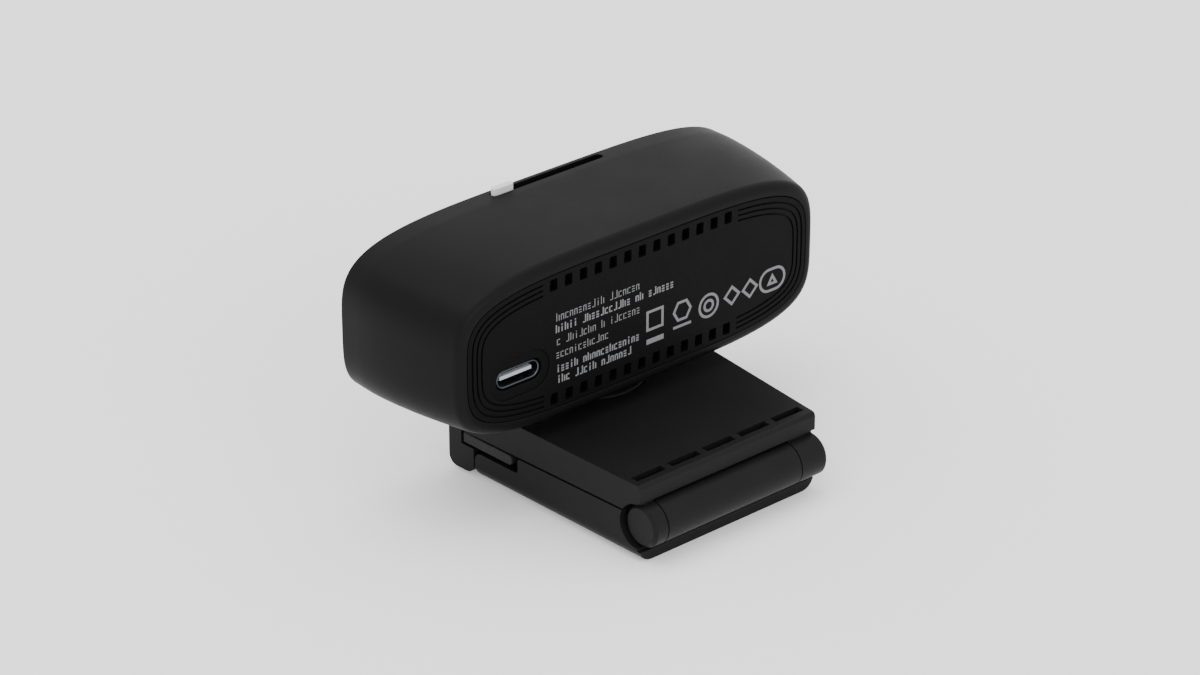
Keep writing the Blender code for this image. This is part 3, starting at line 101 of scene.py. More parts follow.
def superellipse(half_x: float, half_z: float, exponent: float, count: int) -> list[Flat]:
    """Points of a rounded oblong about its centre.

    Args:
        half_x: Half its width.
        half_z: Half its height.
        exponent: How square its corners are.
        count: How many points it has.

    Returns:
        The points (x, z), anticlockwise as seen from the front.
    """
    points = []
    for step in range(count):
        cosine = math.cos(2 * math.pi * step / count)
        sine = math.sin(2 * math.pi * step / count)
        x = half_x * math.copysign(abs(cosine) ** (2 / exponent), cosine)
        z = half_z * math.copysign(abs(sine) ** (2 / exponent), sine)
        points.append((x, z))
    return points


def stadium(width: float, height: float, steps: int = 16) -> list[Flat]:
    """Points of a slot with round ends.

    Args:
        width: Its whole length.
        height: Its width, which is also the diameter of its ends.
        steps: Segments in each round end.

    Returns:
        The points (x, z) of its outline.
    """
    radius = height / 2
    points = []
    for side in (1, -1):
        start = -math.pi / 2 if side > 0 else math.pi / 2
        for step in range(steps + 1):
            angle = start + math.pi * step / steps
            points.append((side * (width / 2 - radius) + radius * math.cos(angle), radius * math.sin(angle)))
    return points


def put(mesh: bpy.types.ID, name: str) -> bpy.types.Object:
    """An object of this data, linked to the scene at the origin.

    Args:
        mesh: The mesh in world coordinates, or a camera's or light's data.
        name: The object's name.

    Returns:
        The new object.
    """
    piece = bpy.data.objects.new(name, mesh)
    bpy.context.scene.collection.objects.link(piece)
    return piece


def from_bmesh(bm: bmesh.types.BMesh, name: str) -> bpy.types.Object:
    """Turns a bmesh into an object whose faces point outwards.

    Args:
        bm: The closed shape, which is freed.
        name: The object's name.

    Returns:
        The new object.
    """
    bmesh.ops.recalc_face_normals(bm, faces=bm.faces)
    mesh = bpy.data.meshes.new(name)
    bm.to_mesh(mesh)
    bm.free()
    return put(mesh, name)


def loft(rings: Sequence[Sequence[Sequence[float]]], name: str, closed: bool = False) -> bpy.types.Object:
    """A body through rings that have the same number of points.

    Args:
        rings: Rings of points in world coordinates.
        name: The object's name.
        closed: True where the last ring joins the first, as in a tube's wall.

    Returns:
        The new object.
    """
    bm = bmesh.new()
    loops = [[bm.verts.new(point) for point in ring] for ring in rings]
    pairs = list(zip(loops, loops[1:]))
    if closed:
        pairs.append((loops[-1], loops[0]))
    else:
        bm.faces.new(loops[0][::-1])
        bm.faces.new(loops[-1])
    for first, second in pairs:
        for index in range(len(first)):
            after = (index + 1) % len(first)
            bm.faces.new((first[index], first[after], second[after], second[index]))
    return from_bmesh(bm, name)


def turned(
    axis: Axis, centre: Sequence[float], profile: Sequence[Flat], name: str, count: int, closed: bool = False
) -> bpy.types.Object:
    """A round body about an axis.

    Args:
        axis: The axis it is turned about.
        centre: A point on the axis.
        profile: Pairs of distance along the axis and radius.
        name: The object's name.
        count: Segments round it.
        closed: True for a ring, whose profile comes back to its start.

    Returns:
        The new object.
    """
    along, across, third = axis.basis()
    rings = []
    for distance, radius in profile:
        middle = Vector(centre) + along * distance
        angles = [2 * math.pi * step / count for step in range(count)]
        rings.append([middle + radius * (math.cos(a) * across + math.sin(a) * third) for a in angles])
    return loft(rings, name, closed)


def block(low: Sequence[float], high: Sequence[float], name: str) -> bpy.types.Object:
    """A box between two corners, used to cut or to be softened.

    Args:
        low: Its lowest corner.
        high: Its highest corner.
        name: The object's name.

    Returns:
        The new object.
    """
    ring = [(low[0], low[1]), (high[0], low[1]), (high[0], high[1]), (low[0], high[1])]
    return loft([[(x, y, z) for x, y in ring] for z in (low[2], high[2])], name)


def settled(piece: bpy.types.Object) -> bpy.types.Object:
    """Applies every modifier on a piece.

    Args:
        piece: The piece, which keeps its name.

    Returns:
        The same piece with a plain mesh.
    """
    bpy.context.view_layer.update()
    graph = bpy.context.evaluated_depsgraph_get()
    mesh = bpy.data.meshes.new_from_object(piece.evaluated_get(graph))
    piece.modifiers.clear()
    old = piece.data
    piece.data = mesh
    bpy.data.meshes.remove(old)
    return piece


def cut(piece: bpy.types.Object, *others: bpy.types.Object) -> None:
    """Takes other shapes out of a piece.

    Args:
        piece: The piece that changes.
        *others: The shapes that cut it, which are then removed.
    """
    for other in others:
        boolean = piece.modifiers.new(other.name, "BOOLEAN")
        boolean.operation = "DIFFERENCE"
        boolean.object = other
        boolean.solver = "EXACT"
    settled(piece)
    for other in others:
        bpy.data.objects.remove(other)


def merge(name: str, pieces: Sequence[bpy.types.Object]) -> bpy.types.Object:
    """One object of several that don't touch.

    Args:
        name: The new object's name.
        pieces: The objects, which are removed.

    Returns:
        The new object.
    """
    bm = bmesh.new()
    for piece in pieces:
        bm.from_mesh(piece.data)
    for piece in pieces:
        bpy.data.objects.remove(piece)
    mesh = bpy.data.meshes.new(name)
    bm.to_mesh(mesh)
    bm.free()
    return put(mesh, name)


def soften(piece: bpy.types.Object, width: float, segments: int = 3, angle: float = 30.0) -> bpy.types.Object:
    """Rounds a piece's sharp edges.

    Args:
        piece: The piece.
        width: How wide the rounding is.
        segments: Segments across it.
        angle: The least angle, in degrees, of an edge that counts as sharp.

    Returns:
        The same piece.
    """
    bevel = piece.modifiers.new("soften", "BEVEL")
    bevel.width = width
    bevel.segments = segments
    bevel.limit_method = "ANGLE"
    bevel.angle_limit = math.radians(angle)
    bevel.miter_outer = "MITER_ARC"
    bevel.use_clamp_overlap = True
    return settled(piece)


def tidy_mesh(piece: bpy.types.Object, flat_angle: float = 0.3) -> bpy.types.Object:
    """Merges doubles and joins the triangles of each flat face.

    Args:
        piece: The piece.
        flat_angle: The most, in degrees, that joined faces differ.

    Returns:
        The same piece.
    """
    bm = bmesh.new()
    bm.from_mesh(piece.data)
    bmesh.ops.remove_doubles(bm, verts=bm.verts, dist=MERGE_WITHIN)
    bmesh.ops.dissolve_limit(bm, angle_limit=math.radians(flat_angle), verts=bm.verts, edges=bm.edges)
    bm.to_mesh(piece.data)
    bm.free()
    return piece


def shade(piece: bpy.types.Object, angle: float = SMOOTH_ANGLE) -> bpy.types.Object:
    """Smooth shading, split at edges sharper than an angle, with flat faces kept flat.

    Args:
        piece: The piece.
        angle: That angle, in radians.

    Returns:
        The same piece.
    """
    piece.data.shade_smooth()
    piece.data.set_sharp_from_angle(angle=angle)
    weighted = piece.modifiers.new("flat faces", "WEIGHTED_NORMAL")
    weighted.keep_sharp = True
    return settled(piece)


# ---- geometry nodes ----


class PatternTree:
    """A Geometry Nodes tree with named inputs, which ends in Realize Instances and Set Material."""

    def __init__(self, name: str) -> None:
        """Starts an empty tree.

        Args:
            name: The tree's name.
        """
        self.group = bpy.data.node_groups.new(name, "GeometryNodeTree")
        self.group.interface.new_socket("Geometry", in_out="OUTPUT", socket_type="NodeSocketGeometry")
        self.inputs = self.group.nodes.new("NodeGroupInput")
        self.identifiers: dict[str, str] = {}

    def size(self, label: str, whole: bool = False) -> bpy.types.NodeSocket:
        """Adds a named input.

        Args:
            label: The input's name.
            whole: True for a whole number.

        Returns:
            The socket that gives it.
        """
        kind = "NodeSocketInt" if whole else "NodeSocketFloat"
        item = self.group.interface.new_socket(label, in_out="INPUT", socket_type=kind)
        self.identifiers[label] = item.identifier
        return self.inputs.outputs[label]

    def node(self, kind: str, inputs: dict[Any, Any] | None = None, **settings: Any) -> bpy.types.Node:
        """Adds a node.

        Args:
            kind: The node's type.
            inputs: A value or a socket for each input, by name or number.
            **settings: The node's own properties.

        Returns:
            The node.
        """
        node = self.group.nodes.new(kind)
        for key, value in settings.items():
            setattr(node, key, value)
        for key, value in (inputs or {}).items():
            if isinstance(value, bpy.types.NodeSocket):
                self.group.links.new(value, node.inputs[key])
            else:
                node.inputs[key].default_value = value
        return node

    def maths(self, operation: str, first: Any, second: Any = 0.0) -> bpy.types.NodeSocket:
        """The result of a Math node on two values or sockets."""
        return self.node("ShaderNodeMath", {0: first, 1: second}, operation=operation).outputs[0]

    def vector(self, x: Any = 0.0, y: Any = 0.0, z: Any = 0.0) -> bpy.types.NodeSocket:
        """A vector of three values or sockets."""
        return self.node("ShaderNodeCombineXYZ", {0: x, 1: y, 2: z}).outputs[0]

    def close(self, geometry: bpy.types.NodeSocket, material: bpy.types.Material) -> None:
        """Ends the tree.

        Args:
            geometry: The socket that holds the pattern.
            material: What the pattern is made of.
        """
        realised = self.node("GeometryNodeRealizeInstances", {"Geometry": geometry})
        dressed = self.node(
            "GeometryNodeSetMaterial", {"Geometry": realised.outputs[0], "Material": material}
        )
        output = self.group.nodes.new("NodeGroupOutput")
        self.group.links.new(dressed.outputs[0], output.inputs[0])

    def make(self, name: str, place: Matrix, **sizes: float) -> bpy.types.Object:
        """A plain mesh of the pattern.

        Args:
            name: The object's name.
            place: Where the pattern goes.
            **sizes: The tree's inputs, with spaces written as underscores.

        Returns:
            The new object at the origin, with its place in its mesh.
        """
        host = put(bpy.data.meshes.new(name), name)
        modifier = host.modifiers.new("pattern", "NODES")
        modifier.node_group = self.group
        for label, value in sizes.items():
            modifier[self.identifiers[label.replace("_", " ")]] = value
        settled(host)
        host.data.transform(place)
        return host


class PrismRow(PatternTree):
    """A row of upright prisms with rounded corners, along X, each standing along Z."""

    def __init__(self, material: bpy.types.Material) -> None:
        """Builds the tree.

        Args:
            material: What the prisms are made of.
        """
        super().__init__("prism row")
        count = self.size("Count", whole=True)
        pitch = self.size("Pitch")
        width = self.size("Width")
        depth = self.size("Depth")
        corner = self.size("Corner")
        height = self.size("Height")
        frame = self.node("GeometryNodeCurvePrimitiveQuadrilateral", {"Width": width, "Height": depth})
        outline = self.node(
            "GeometryNodeFilletCurve", {"Curve": frame.outputs[0], "Radius": corner, "Count": 3}, mode="POLY"
        )
        rise = self.maths("MULTIPLY", height, 0.5)
        fall = self.maths("MULTIPLY", height, -0.5)
        line = self.node(
            "GeometryNodeCurvePrimitiveLine", {"Start": self.vector(z=fall), "End": self.vector(z=rise)}
        )
        prism = self.node(
            "GeometryNodeCurveToMesh",
            {"Curve": line.outputs[0], "Profile Curve": outline.outputs[0], "Fill Caps": True},
        )
        gaps = self.maths("SUBTRACT", count, 1.0)
        start = self.maths("MULTIPLY", self.maths("MULTIPLY", gaps, pitch), -0.5)
        row = self.node(
            "GeometryNodeMeshLine",
            {"Count": count, "Start Location": self.vector(x=start), "Offset": self.vector(x=pitch)},
        )
        placed = self.node(
            "GeometryNodeInstanceOnPoints", {"Points": row.outputs[0], "Instance": prism.outputs[0]}
        )
        self.close(placed.outputs[0], material)


class EndGroove(PatternTree):
    """A groove's solid, which follows one end of a rounded oblong in the XY plane."""

    def __init__(self, material: bpy.types.Material, exponent: float) -> None:
        """Builds the tree.

        Args:
            material: What the groove's wall is made of.
            exponent: How square the oblong's corners are.
        """
        super().__init__("end groove")
        half_x = self.size("Half X")
        half_z = self.size("Half Z")
        reach = self.size("Start X")
        width = self.size("Width")
        depth = self.size("Depth")
        steps = self.size("Steps", whole=True)
        # The angle at which the outline passes the groove's start
        share = self.maths("DIVIDE", reach, half_x)
        limit = self.maths("ARCCOSINE", self.maths("POWER", share, exponent / 2))
        line = self.node("GeometryNodeMeshLine", {"Count": steps})
        index = self.node("GeometryNodeInputIndex").outputs[0]
        last = self.maths("SUBTRACT", steps, 1.0)
        along = self.maths("MULTIPLY", self.maths("SUBTRACT", self.maths("DIVIDE", index, last), 0.5), 2.0)
        angle = self.maths("MULTIPLY", along, limit)
        cosine = self.maths("COSINE", angle)
        sine = self.maths("SINE", angle)
        x = self.maths("MULTIPLY", half_x, self.maths("POWER", cosine, 2 / exponent))
        swell = self.maths("POWER", self.maths("ABSOLUTE", sine), 2 / exponent)
        y = self.maths("MULTIPLY", self.maths("MULTIPLY", half_z, swell), self.maths("SIGN", sine))
        moved = self.node(
            "GeometryNodeSetPosition", {"Geometry": line.outputs[0], "Position": self.vector(x, y)}
        )
        path = self.node("GeometryNodeMeshToCurve", {"Mesh": moved.outputs[0]})
        upright = self.node("GeometryNodeSetCurveNormal", {"Curve": path.outputs[0]}, mode="Z_UP")
        profile = self.node("GeometryNodeCurvePrimitiveQuadrilateral", {"Width": width, "Height": depth})
        swept = self.node(
            "GeometryNodeCurveToMesh",
            {"Curve": upright.outputs[0], "Profile Curve": profile.outputs[0], "Fill Caps": True},
        )
        self.close(swept.outputs[0], material)


class StrokeText(PatternTree):
    """A row of small unreadable shapes made of short strokes, with word gaps, in the XZ plane."""

    gap_share: float = 0.12
    # Strokes of each shape: (x, z, width, height) in shares of the pitch and of the row's height, where a
    # width or a height of None is the stroke's own weight.
    shapes: tuple[tuple[tuple[float, float, float | None, float | None], ...], ...] = (
        ((-0.28, 0.36, None, 0.72), (0.26, 0.36, None, 0.72), (0.0, 0.68, 0.3, None)),
        ((-0.28, 0.5, None, 1.0), (0.1, 0.06, 0.4, None)),
        ((0.0, 0.06, 0.62, None), (0.0, 0.36, 0.62, None), (0.0, 0.68, 0.62, None)),
        ((0.0, 0.32, None, 0.64), (0.0, 0.86, None, None)),
        ((0.28, 0.36, None, 0.72), (-0.12, 0.06, 0.42, None), (-0.12, 0.68, 0.42, None)),
        ((-0.26, 0.36, None, 0.72), (0.26, 0.5, None, 1.0)),
    )

    def __init__(self, material: bpy.types.Material) -> None:
        """Builds the tree.

        Args:
            material: The ink.
        """
        super().__init__("stroke text")
        count = self.size("Count", whole=True)
        pitch = self.size("Pitch")
        self.weight = self.size("Weight")
        self.height = self.size("Height")
        self.thickness = self.size("Thickness")
        seed = self.size("Seed", whole=True)
        gaps = self.maths("SUBTRACT", count, 1.0)
        start = self.maths("MULTIPLY", self.maths("MULTIPLY", gaps, pitch), -0.5)
        row = self.node(
            "GeometryNodeMeshLine",
            {"Count": count, "Start Location": self.vector(x=start), "Offset": self.vector(x=pitch)},
        )
        gap = self.node(
            "FunctionNodeRandomValue", {"Probability": self.gap_share, "Seed": seed}, data_type="BOOLEAN"
        )
        spaced = self.node(
            "GeometryNodeDeleteGeometry", {"Geometry": row.outputs[0], "Selection": gap.outputs[3]},
            domain="POINT",
        )
        glyphs = self.node("GeometryNodeJoinGeometry")
        for strokes in self.shapes:
            glyph = self.node("GeometryNodeJoinGeometry")
            for x, z, wide, tall in strokes:
                self.group.links.new(self.stroke(pitch, x, z, wide, tall), glyph.inputs[0])
            instance = self.node("GeometryNodeGeometryToInstance")
            self.group.links.new(glyph.outputs[0], instance.inputs[0])
            self.group.links.new(instance.outputs[0], glyphs.inputs[0])
        pick = self.node(
            "FunctionNodeRandomValue", {4: 0, 5: len(self.shapes) - 1, "Seed": seed}, data_type="INT"
        )
        placed = self.node(
            "GeometryNodeInstanceOnPoints",
            {
                "Points": spaced.outputs[0],
                "Instance": glyphs.outputs[0],
                "Pick Instance": True,
                "Instance Index": pick.outputs[2],
            },
        )
        self.close(placed.outputs[0], material)

    def stroke(
        self, pitch: bpy.types.NodeSocket, x: float, z: float, wide: float | None, tall: float | None
    ) -> bpy.types.NodeSocket:
        """One stroke of a shape.

        Args:
            pitch: The shapes' spacing.
            x: Its centre's place across, as a share of the pitch.
            z: Its centre's height, as a share of the row's height.
            wide: Its width as a share of the pitch, or None for the stroke's weight.
            tall: Its height as a share of the row's height, or None for the weight.

        Returns:
            The stroke's mesh.
        """
        width = self.weight if wide is None else self.maths("MULTIPLY", pitch, wide)
        height = self.weight if tall is None else self.maths("MULTIPLY", self.height, tall)
        cube = self.node("GeometryNodeMeshCube", {"Size": self.vector(width, self.thickness, height)})
        place = self.vector(self.maths("MULTIPLY", pitch, x), 0.0, self.maths("MULTIPLY", self.height, z))
        moved = self.node("GeometryNodeTransform", {"Geometry": cube.outputs[0], "Translation": place})
        return moved.outputs[0]


# ---- finishes ----


class Grain(Enum):
    """How a mould was finished: size of the grain in metres, and its height as a share of it."""

    POLISHED = (0.9 * MM, 0.004)
    SATIN = (0.22 * MM, 0.05)
    ERODED = (0.34 * MM, 0.11)
    RUBBERY = (0.5 * MM, 0.16)


class Recipe:
    """A material's nodes, with short calls to add and join them."""

    def __init__(self, name: str) -> None:
        """Starts a material with a plain Principled shader.

        Args:
            name: The material's name.
        """
        self.material = bpy.data.materials.new(name)
        self.material.use_nodes = True
        self.tree = self.material.node_tree
        self.shader = self.tree.nodes["Principled BSDF"]
        self.place = self.add("ShaderNodeTexCoord").outputs["Object"]

    def add(self, kind: str, inputs: dict[Any, Any] | None = None, **settings: Any) -> bpy.types.Node:
        """Adds a node.

        Args:
            kind: The node's type.
            inputs: A value or a socket for each input, by name or number.
            **settings: The node's own properties.

        Returns:
            The node.
        """
        node = self.tree.nodes.new(kind)
        for key, value in settings.items():
            setattr(node, key, value)
        for key, value in (inputs or {}).items():
            if isinstance(value, bpy.types.NodeSocket):
                self.tree.links.new(value, node.inputs[key])
            else:
                node.inputs[key].default_value = value
        return node

    def noise(self, size: float, detail: float = 2.0, stretch: Point | None = None) -> bpy.types.NodeSocket:
        """Noise on the piece's own coordinates.

        Args:
            size: The size of its grain, in metres.
            detail: How many finer layers it has.
            stretch: How the coordinates are scaled first, for a brushed look.

        Returns:
            The socket that gives 0 to 1.
        """
        place = self.place
        if stretch:
            place = self.add("ShaderNodeMapping", {"Vector": place, "Scale": stretch}).outputs[0]
        inputs = {"Vector": place, "Scale": 1 / size, "Detail": detail}
        return self.add("ShaderNodeTexNoise", inputs).outputs[0]

    def spread(self, value: bpy.types.NodeSocket, low: float, high: float) -> bpy.types.NodeSocket:
        """Maps the middle of a noise to a range.

        Args:
            value: The noise.
            low: What 0.3 becomes.
            high: What 0.7 becomes.

        Returns:
            The socket of the result.
        """
        inputs = {"Value": value, 1: 0.3, 2: 0.7, 3: low, 4: high}
        return self.add("ShaderNodeMapRange", inputs).outputs[0]

    def tint(self, value: bpy.types.NodeSocket, first: Colour, second: Colour) -> bpy.types.NodeSocket:
        """A colour between two, by a value from 0 to 1."""
        node = self.add("ShaderNodeMix", {"Factor": value}, data_type="RGBA")
        node.inputs[6].default_value = (*first, 1)
        node.inputs[7].default_value = (*second, 1)
        return node.outputs[2]

    def feed(self, name: str, value: Any) -> None:
        """Sets or joins one of the shader's inputs."""
        if isinstance(value, bpy.types.NodeSocket):
            self.tree.links.new(value, self.shader.inputs[name])
        else:
            self.shader.inputs[name].default_value = value

    def bump(self, height: bpy.types.NodeSocket, distance: float, strength: float = 1.0) -> None:
        """Gives the surface a relief of this height in metres."""
        node = self.add("ShaderNodeBump", {"Height": height, "Distance": distance, "Strength": strength})
        self.feed("Normal", node.outputs[0])


def scaled(colour: Colour, share: float) -> Colour:
    """The same colour, with each of its parts times a share."""
    red, green, blue = colour
    return red * share, green * share, blue * share


@dataclass(frozen=True)
class Moulded:
    """Moulded plastic or rubber with the mould's grain and a little cloudiness."""

    name: str
    colour: Colour
    roughness: float
    grain: Grain
    specular: float = 0.5
    coat: float = 0.0
    clouding: float = 1.18
    cloud_size: float = 9 * MM
    unevenness: float = 0.03
    coat_roughness: float = 0.06

    def material(self) -> bpy.types.Material:
        """Builds the material."""
        recipe = Recipe(self.name)
        size, height = self.grain.value
        cloud = recipe.noise(self.cloud_size, 3)
        fine = recipe.noise(size, 2)
        recipe.feed("Base Color", recipe.tint(cloud, self.colour, scaled(self.colour, self.clouding)))
        swing = self.unevenness
        streaks = recipe.add(
            "ShaderNodeMath", {0: recipe.spread(cloud, -swing, swing), 1: recipe.spread(fine, -swing, swing)}
        )
        rough = recipe.add("ShaderNodeMath", {0: streaks.outputs[0], 1: self.roughness})
        recipe.feed("Roughness", rough.outputs[0])
        recipe.feed("Specular IOR Level", self.specular)
        recipe.feed("Coat Weight", self.coat)
        recipe.feed("Coat Roughness", self.coat_roughness)
        recipe.bump(fine, size * height)
        return recipe.material


@dataclass(frozen=True)
class Metal:
    """Drawn or turned metal with fine brush lines."""

    name: str
    colour: Colour
    roughness: float
    stretch: Point = (1, 1, 14)
    brush_size: float = 0.25 * MM
    brush_height: float = 0.006 * MM
    brush_gloss: Flat = (-0.07, 0.09)
    stain_size: float = 3 * MM
    stain: float = 0.86

    def material(self) -> bpy.types.Material:
        """Builds the material."""
        recipe = Recipe(self.name)
        brush = recipe.noise(self.brush_size, 3, self.stretch)
        stain = recipe.noise(self.stain_size, 2)
        recipe.feed("Base Color", recipe.tint(stain, self.colour, scaled(self.colour, self.stain)))
        recipe.feed("Metallic", 1.0)
        smooth, coarse = self.brush_gloss
        recipe.feed("Roughness", recipe.spread(brush, self.roughness + smooth, self.roughness + coarse))
        recipe.bump(brush, self.brush_height)
        return recipe.material


@dataclass(frozen=True)
class Glass:
    """Clear or tinted glass with a faint haze."""

    name: str
    colour: Colour
    transmission: float
    coat: Colour = (1.0, 1.0, 1.0)
    coat_weight: float = 0.25
    coat_roughness: float = 0.02
    refraction: float = 1.5
    haze_size: float = 2.2 * MM
    haze: float = 0.94
    roughness: Flat = (0.02, 0.05)

    def material(self) -> bpy.types.Material:
        """Builds the material."""
        recipe = Recipe(self.name)
        haze = recipe.noise(self.haze_size, 2)
        recipe.feed("Base Color", recipe.tint(haze, self.colour, scaled(self.colour, self.haze)))
        recipe.feed("Transmission Weight", self.transmission)
        recipe.feed("IOR", self.refraction)
        recipe.feed("Coat Weight", self.coat_weight)
        recipe.feed("Coat Tint", (*self.coat, 1))
        recipe.feed("Coat Roughness", self.coat_roughness)
        recipe.feed("Roughness", recipe.spread(haze, *self.roughness))
        return recipe.material


@dataclass(frozen=True)
class Board:
    """Green solder mask over copper tracks."""

    name: str
    mask: Colour
    track: Colour
    track_size: float = 2.4 * MM
    track_height: float = 0.02 * MM
    grain_size: float = 0.8 * MM
    roughness: Flat = (0.32, 0.44)

    def material(self) -> bpy.types.Material:
        """Builds the material."""
        recipe = Recipe(self.name)
        cells = recipe.add(
            "ShaderNodeTexVoronoi", {"Vector": recipe.place, "Scale": 1 / self.track_size},
            distance="MANHATTAN", feature="F2",
        )
        lines = recipe.add("ShaderNodeMapRange", {"Value": cells.outputs[0], 1: 0.55, 2: 0.6, 3: 0.0, 4: 1.0})
        recipe.feed("Base Color", recipe.tint(lines.outputs[0], self.track, self.mask))
        recipe.feed("Roughness", recipe.spread(recipe.noise(self.grain_size), *self.roughness))
        recipe.bump(lines.outputs[0], self.track_height)
        return recipe.material


@dataclass(frozen=True)
class Ink:
    """Pad-printed ink, a little thin in places."""

    name: str
    colour: Colour
    grain_size: float = 0.18 * MM
    thinnest: float = 0.6
    roughness: Flat = (0.5, 0.7)
    specular: float = 0.2

    def material(self) -> bpy.types.Material:
        """Builds the material."""
        recipe = Recipe(self.name)
        thin = recipe.noise(self.grain_size, 3)
        worn = recipe.spread(thin, 0.0, 0.5)
        recipe.feed("Base Color", recipe.tint(worn, self.colour, scaled(self.colour, self.thinnest)))
        recipe.feed("Roughness", recipe.spread(thin, *self.roughness))
        recipe.feed("Specular IOR Level", self.specular)
        return recipe.material


@dataclass(frozen=True)
class Finishes:
    """Every finish on the webcam."""

    body: Moulded = Moulded("satin casing plastic", (0.0042, 0.0042, 0.0043), 0.44, Grain.SATIN, 0.07)
    panel: Moulded = Moulded("matt rear panel plastic", (0.0026, 0.0026, 0.0027), 0.60, Grain.ERODED, 0.06)
    clip: Moulded = Moulded("clip plastic", (0.0075, 0.0075, 0.0076), 0.38, Grain.SATIN, 0.075)
    window: Moulded = Moulded("gloss window", (0.0030, 0.0030, 0.0034), 0.06, Grain.POLISHED, 0.4, 0.2, 1.05)
    inner: Moulded = Moulded("inner plastic", (0.0060, 0.0060, 0.0062), 0.62, Grain.ERODED, 0.3)
    blade: Moulded = Moulded("shutter blade plastic", (0.0150, 0.0150, 0.0155), 0.55, Grain.SATIN, 0.35)
    rubber: Moulded = Moulded("soft rubber", (0.0085, 0.0085, 0.0085), 0.68, Grain.RUBBERY, 0.3)
    knob: Moulded = Moulded("light grey plastic", (0.62, 0.62, 0.62), 0.38, Grain.SATIN, 0.5, 0.0, 0.96)
    chip: Moulded = Moulded("chip package", (0.012, 0.012, 0.013), 0.5, Grain.ERODED, 0.4)
    led: Moulded = Moulded("light package", (0.72, 0.70, 0.60), 0.35, Grain.POLISHED)
    tongue: Moulded = Moulded("inlet tongue plastic", (0.34, 0.36, 0.41), 0.42, Grain.SATIN, 0.4)
    dust: Moulded = Moulded("dust mesh", (0.006, 0.006, 0.006), 0.85, Grain.RUBBERY, 0.1)
    steel: Metal = Metal("stamped steel", (0.56, 0.57, 0.59), 0.30)
    inlet: Metal = Metal("inlet shell steel", (0.09, 0.10, 0.115), 0.34, (14, 1, 1))
    bezel: Metal = Metal("lens ring metal", (0.10, 0.10, 0.105), 0.22, (1, 14, 1))
    brass: Metal = Metal("brass", (0.78, 0.58, 0.28), 0.28)
    gold: Metal = Metal("gold contact", (0.86, 0.66, 0.30), 0.20)
    cover: Glass = Glass("lens cover glass", (0.92, 0.94, 0.96), 1.0)
    lens: Glass = Glass("coated lens", (0.020, 0.018, 0.045), 0.0, (0.45, 0.55, 1.0))
    pipe: Glass = Glass("light pipe", (0.80, 0.84, 0.86), 0.8)
    board: Board = Board("circuit board", (0.006, 0.045, 0.020), (0.020, 0.100, 0.045))
    ink: Ink = Ink("grey ink", (0.175, 0.175, 0.182))


class Wardrobe:
    """Makes each finish's material once."""

    def __init__(self) -> None:
        """Starts with no material made."""
        self.finishes = Finishes()
        self.made: dict[str, bpy.types.Material] = {}

    def get(self, key: str) -> bpy.types.Material:
        """The material of a finish.

        Args:
            key: The finish's field in Finishes.

        Returns:
            Its material.
        """
        if key not in self.made:
            self.made[key] = getattr(self.finishes, key).material()
        return self.made[key]

    def dress(self, piece: bpy.types.Object, key: str) -> bpy.types.Object:
        """Gives a piece one finish all over.

        Args:
            piece: The piece.
            key: The finish's field in Finishes.

        Returns:
            The same piece.
        """
        piece.data.materials.clear()
        piece.data.materials.append(self.get(key))
        return piece


# ---- sub-assemblies ----


@dataclass(frozen=True)
class Refined:
    """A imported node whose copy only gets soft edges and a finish."""

    node: str
    name: str
    body: str
    finish: str
    slot: str
    edge: float
    segments: int = 2
    angle: float = 32


@dataclass
class Assembly:
    """What every sub-assembly needs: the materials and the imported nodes."""

    wardrobe: Wardrobe
    nodes: dict[str, bpy.types.Object]

    def hand_over(
        self, piece: bpy.types.Object, body: str, finish: str, slot: str, replaced: Sequence[str] = ()
    ) -> bpy.types.Object:
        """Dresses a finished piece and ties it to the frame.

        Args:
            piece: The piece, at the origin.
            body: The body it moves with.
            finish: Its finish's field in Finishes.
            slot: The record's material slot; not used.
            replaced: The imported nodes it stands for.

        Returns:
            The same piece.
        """
        self.wardrobe.dress(piece, finish)
        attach(piece, body)
        if replaced:
            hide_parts(*replaced)
        log.info("%s: %d faces on %s", piece.name, len(piece.data.polygons), body)
        return piece

    def copy_of(self, node: str, name: str) -> bpy.types.Object:
        """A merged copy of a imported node, ready to be refined.

        Args:
            node: The node's name.
            name: The new piece's name.

        Returns:
            The copy.
        """
        return tidy_mesh(put(self.nodes[node].data.copy(), name))

    def refine(self, detail: Refined) -> None:
        """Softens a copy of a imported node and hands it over.

        Args:
            detail: What the piece is and how soft its edges are.
        """
        made = soften(self.copy_of(detail.node, detail.name), detail.edge, detail.segments, detail.angle)
        self.hand_over(shade(made), detail.body, detail.finish, detail.slot, [detail.node])


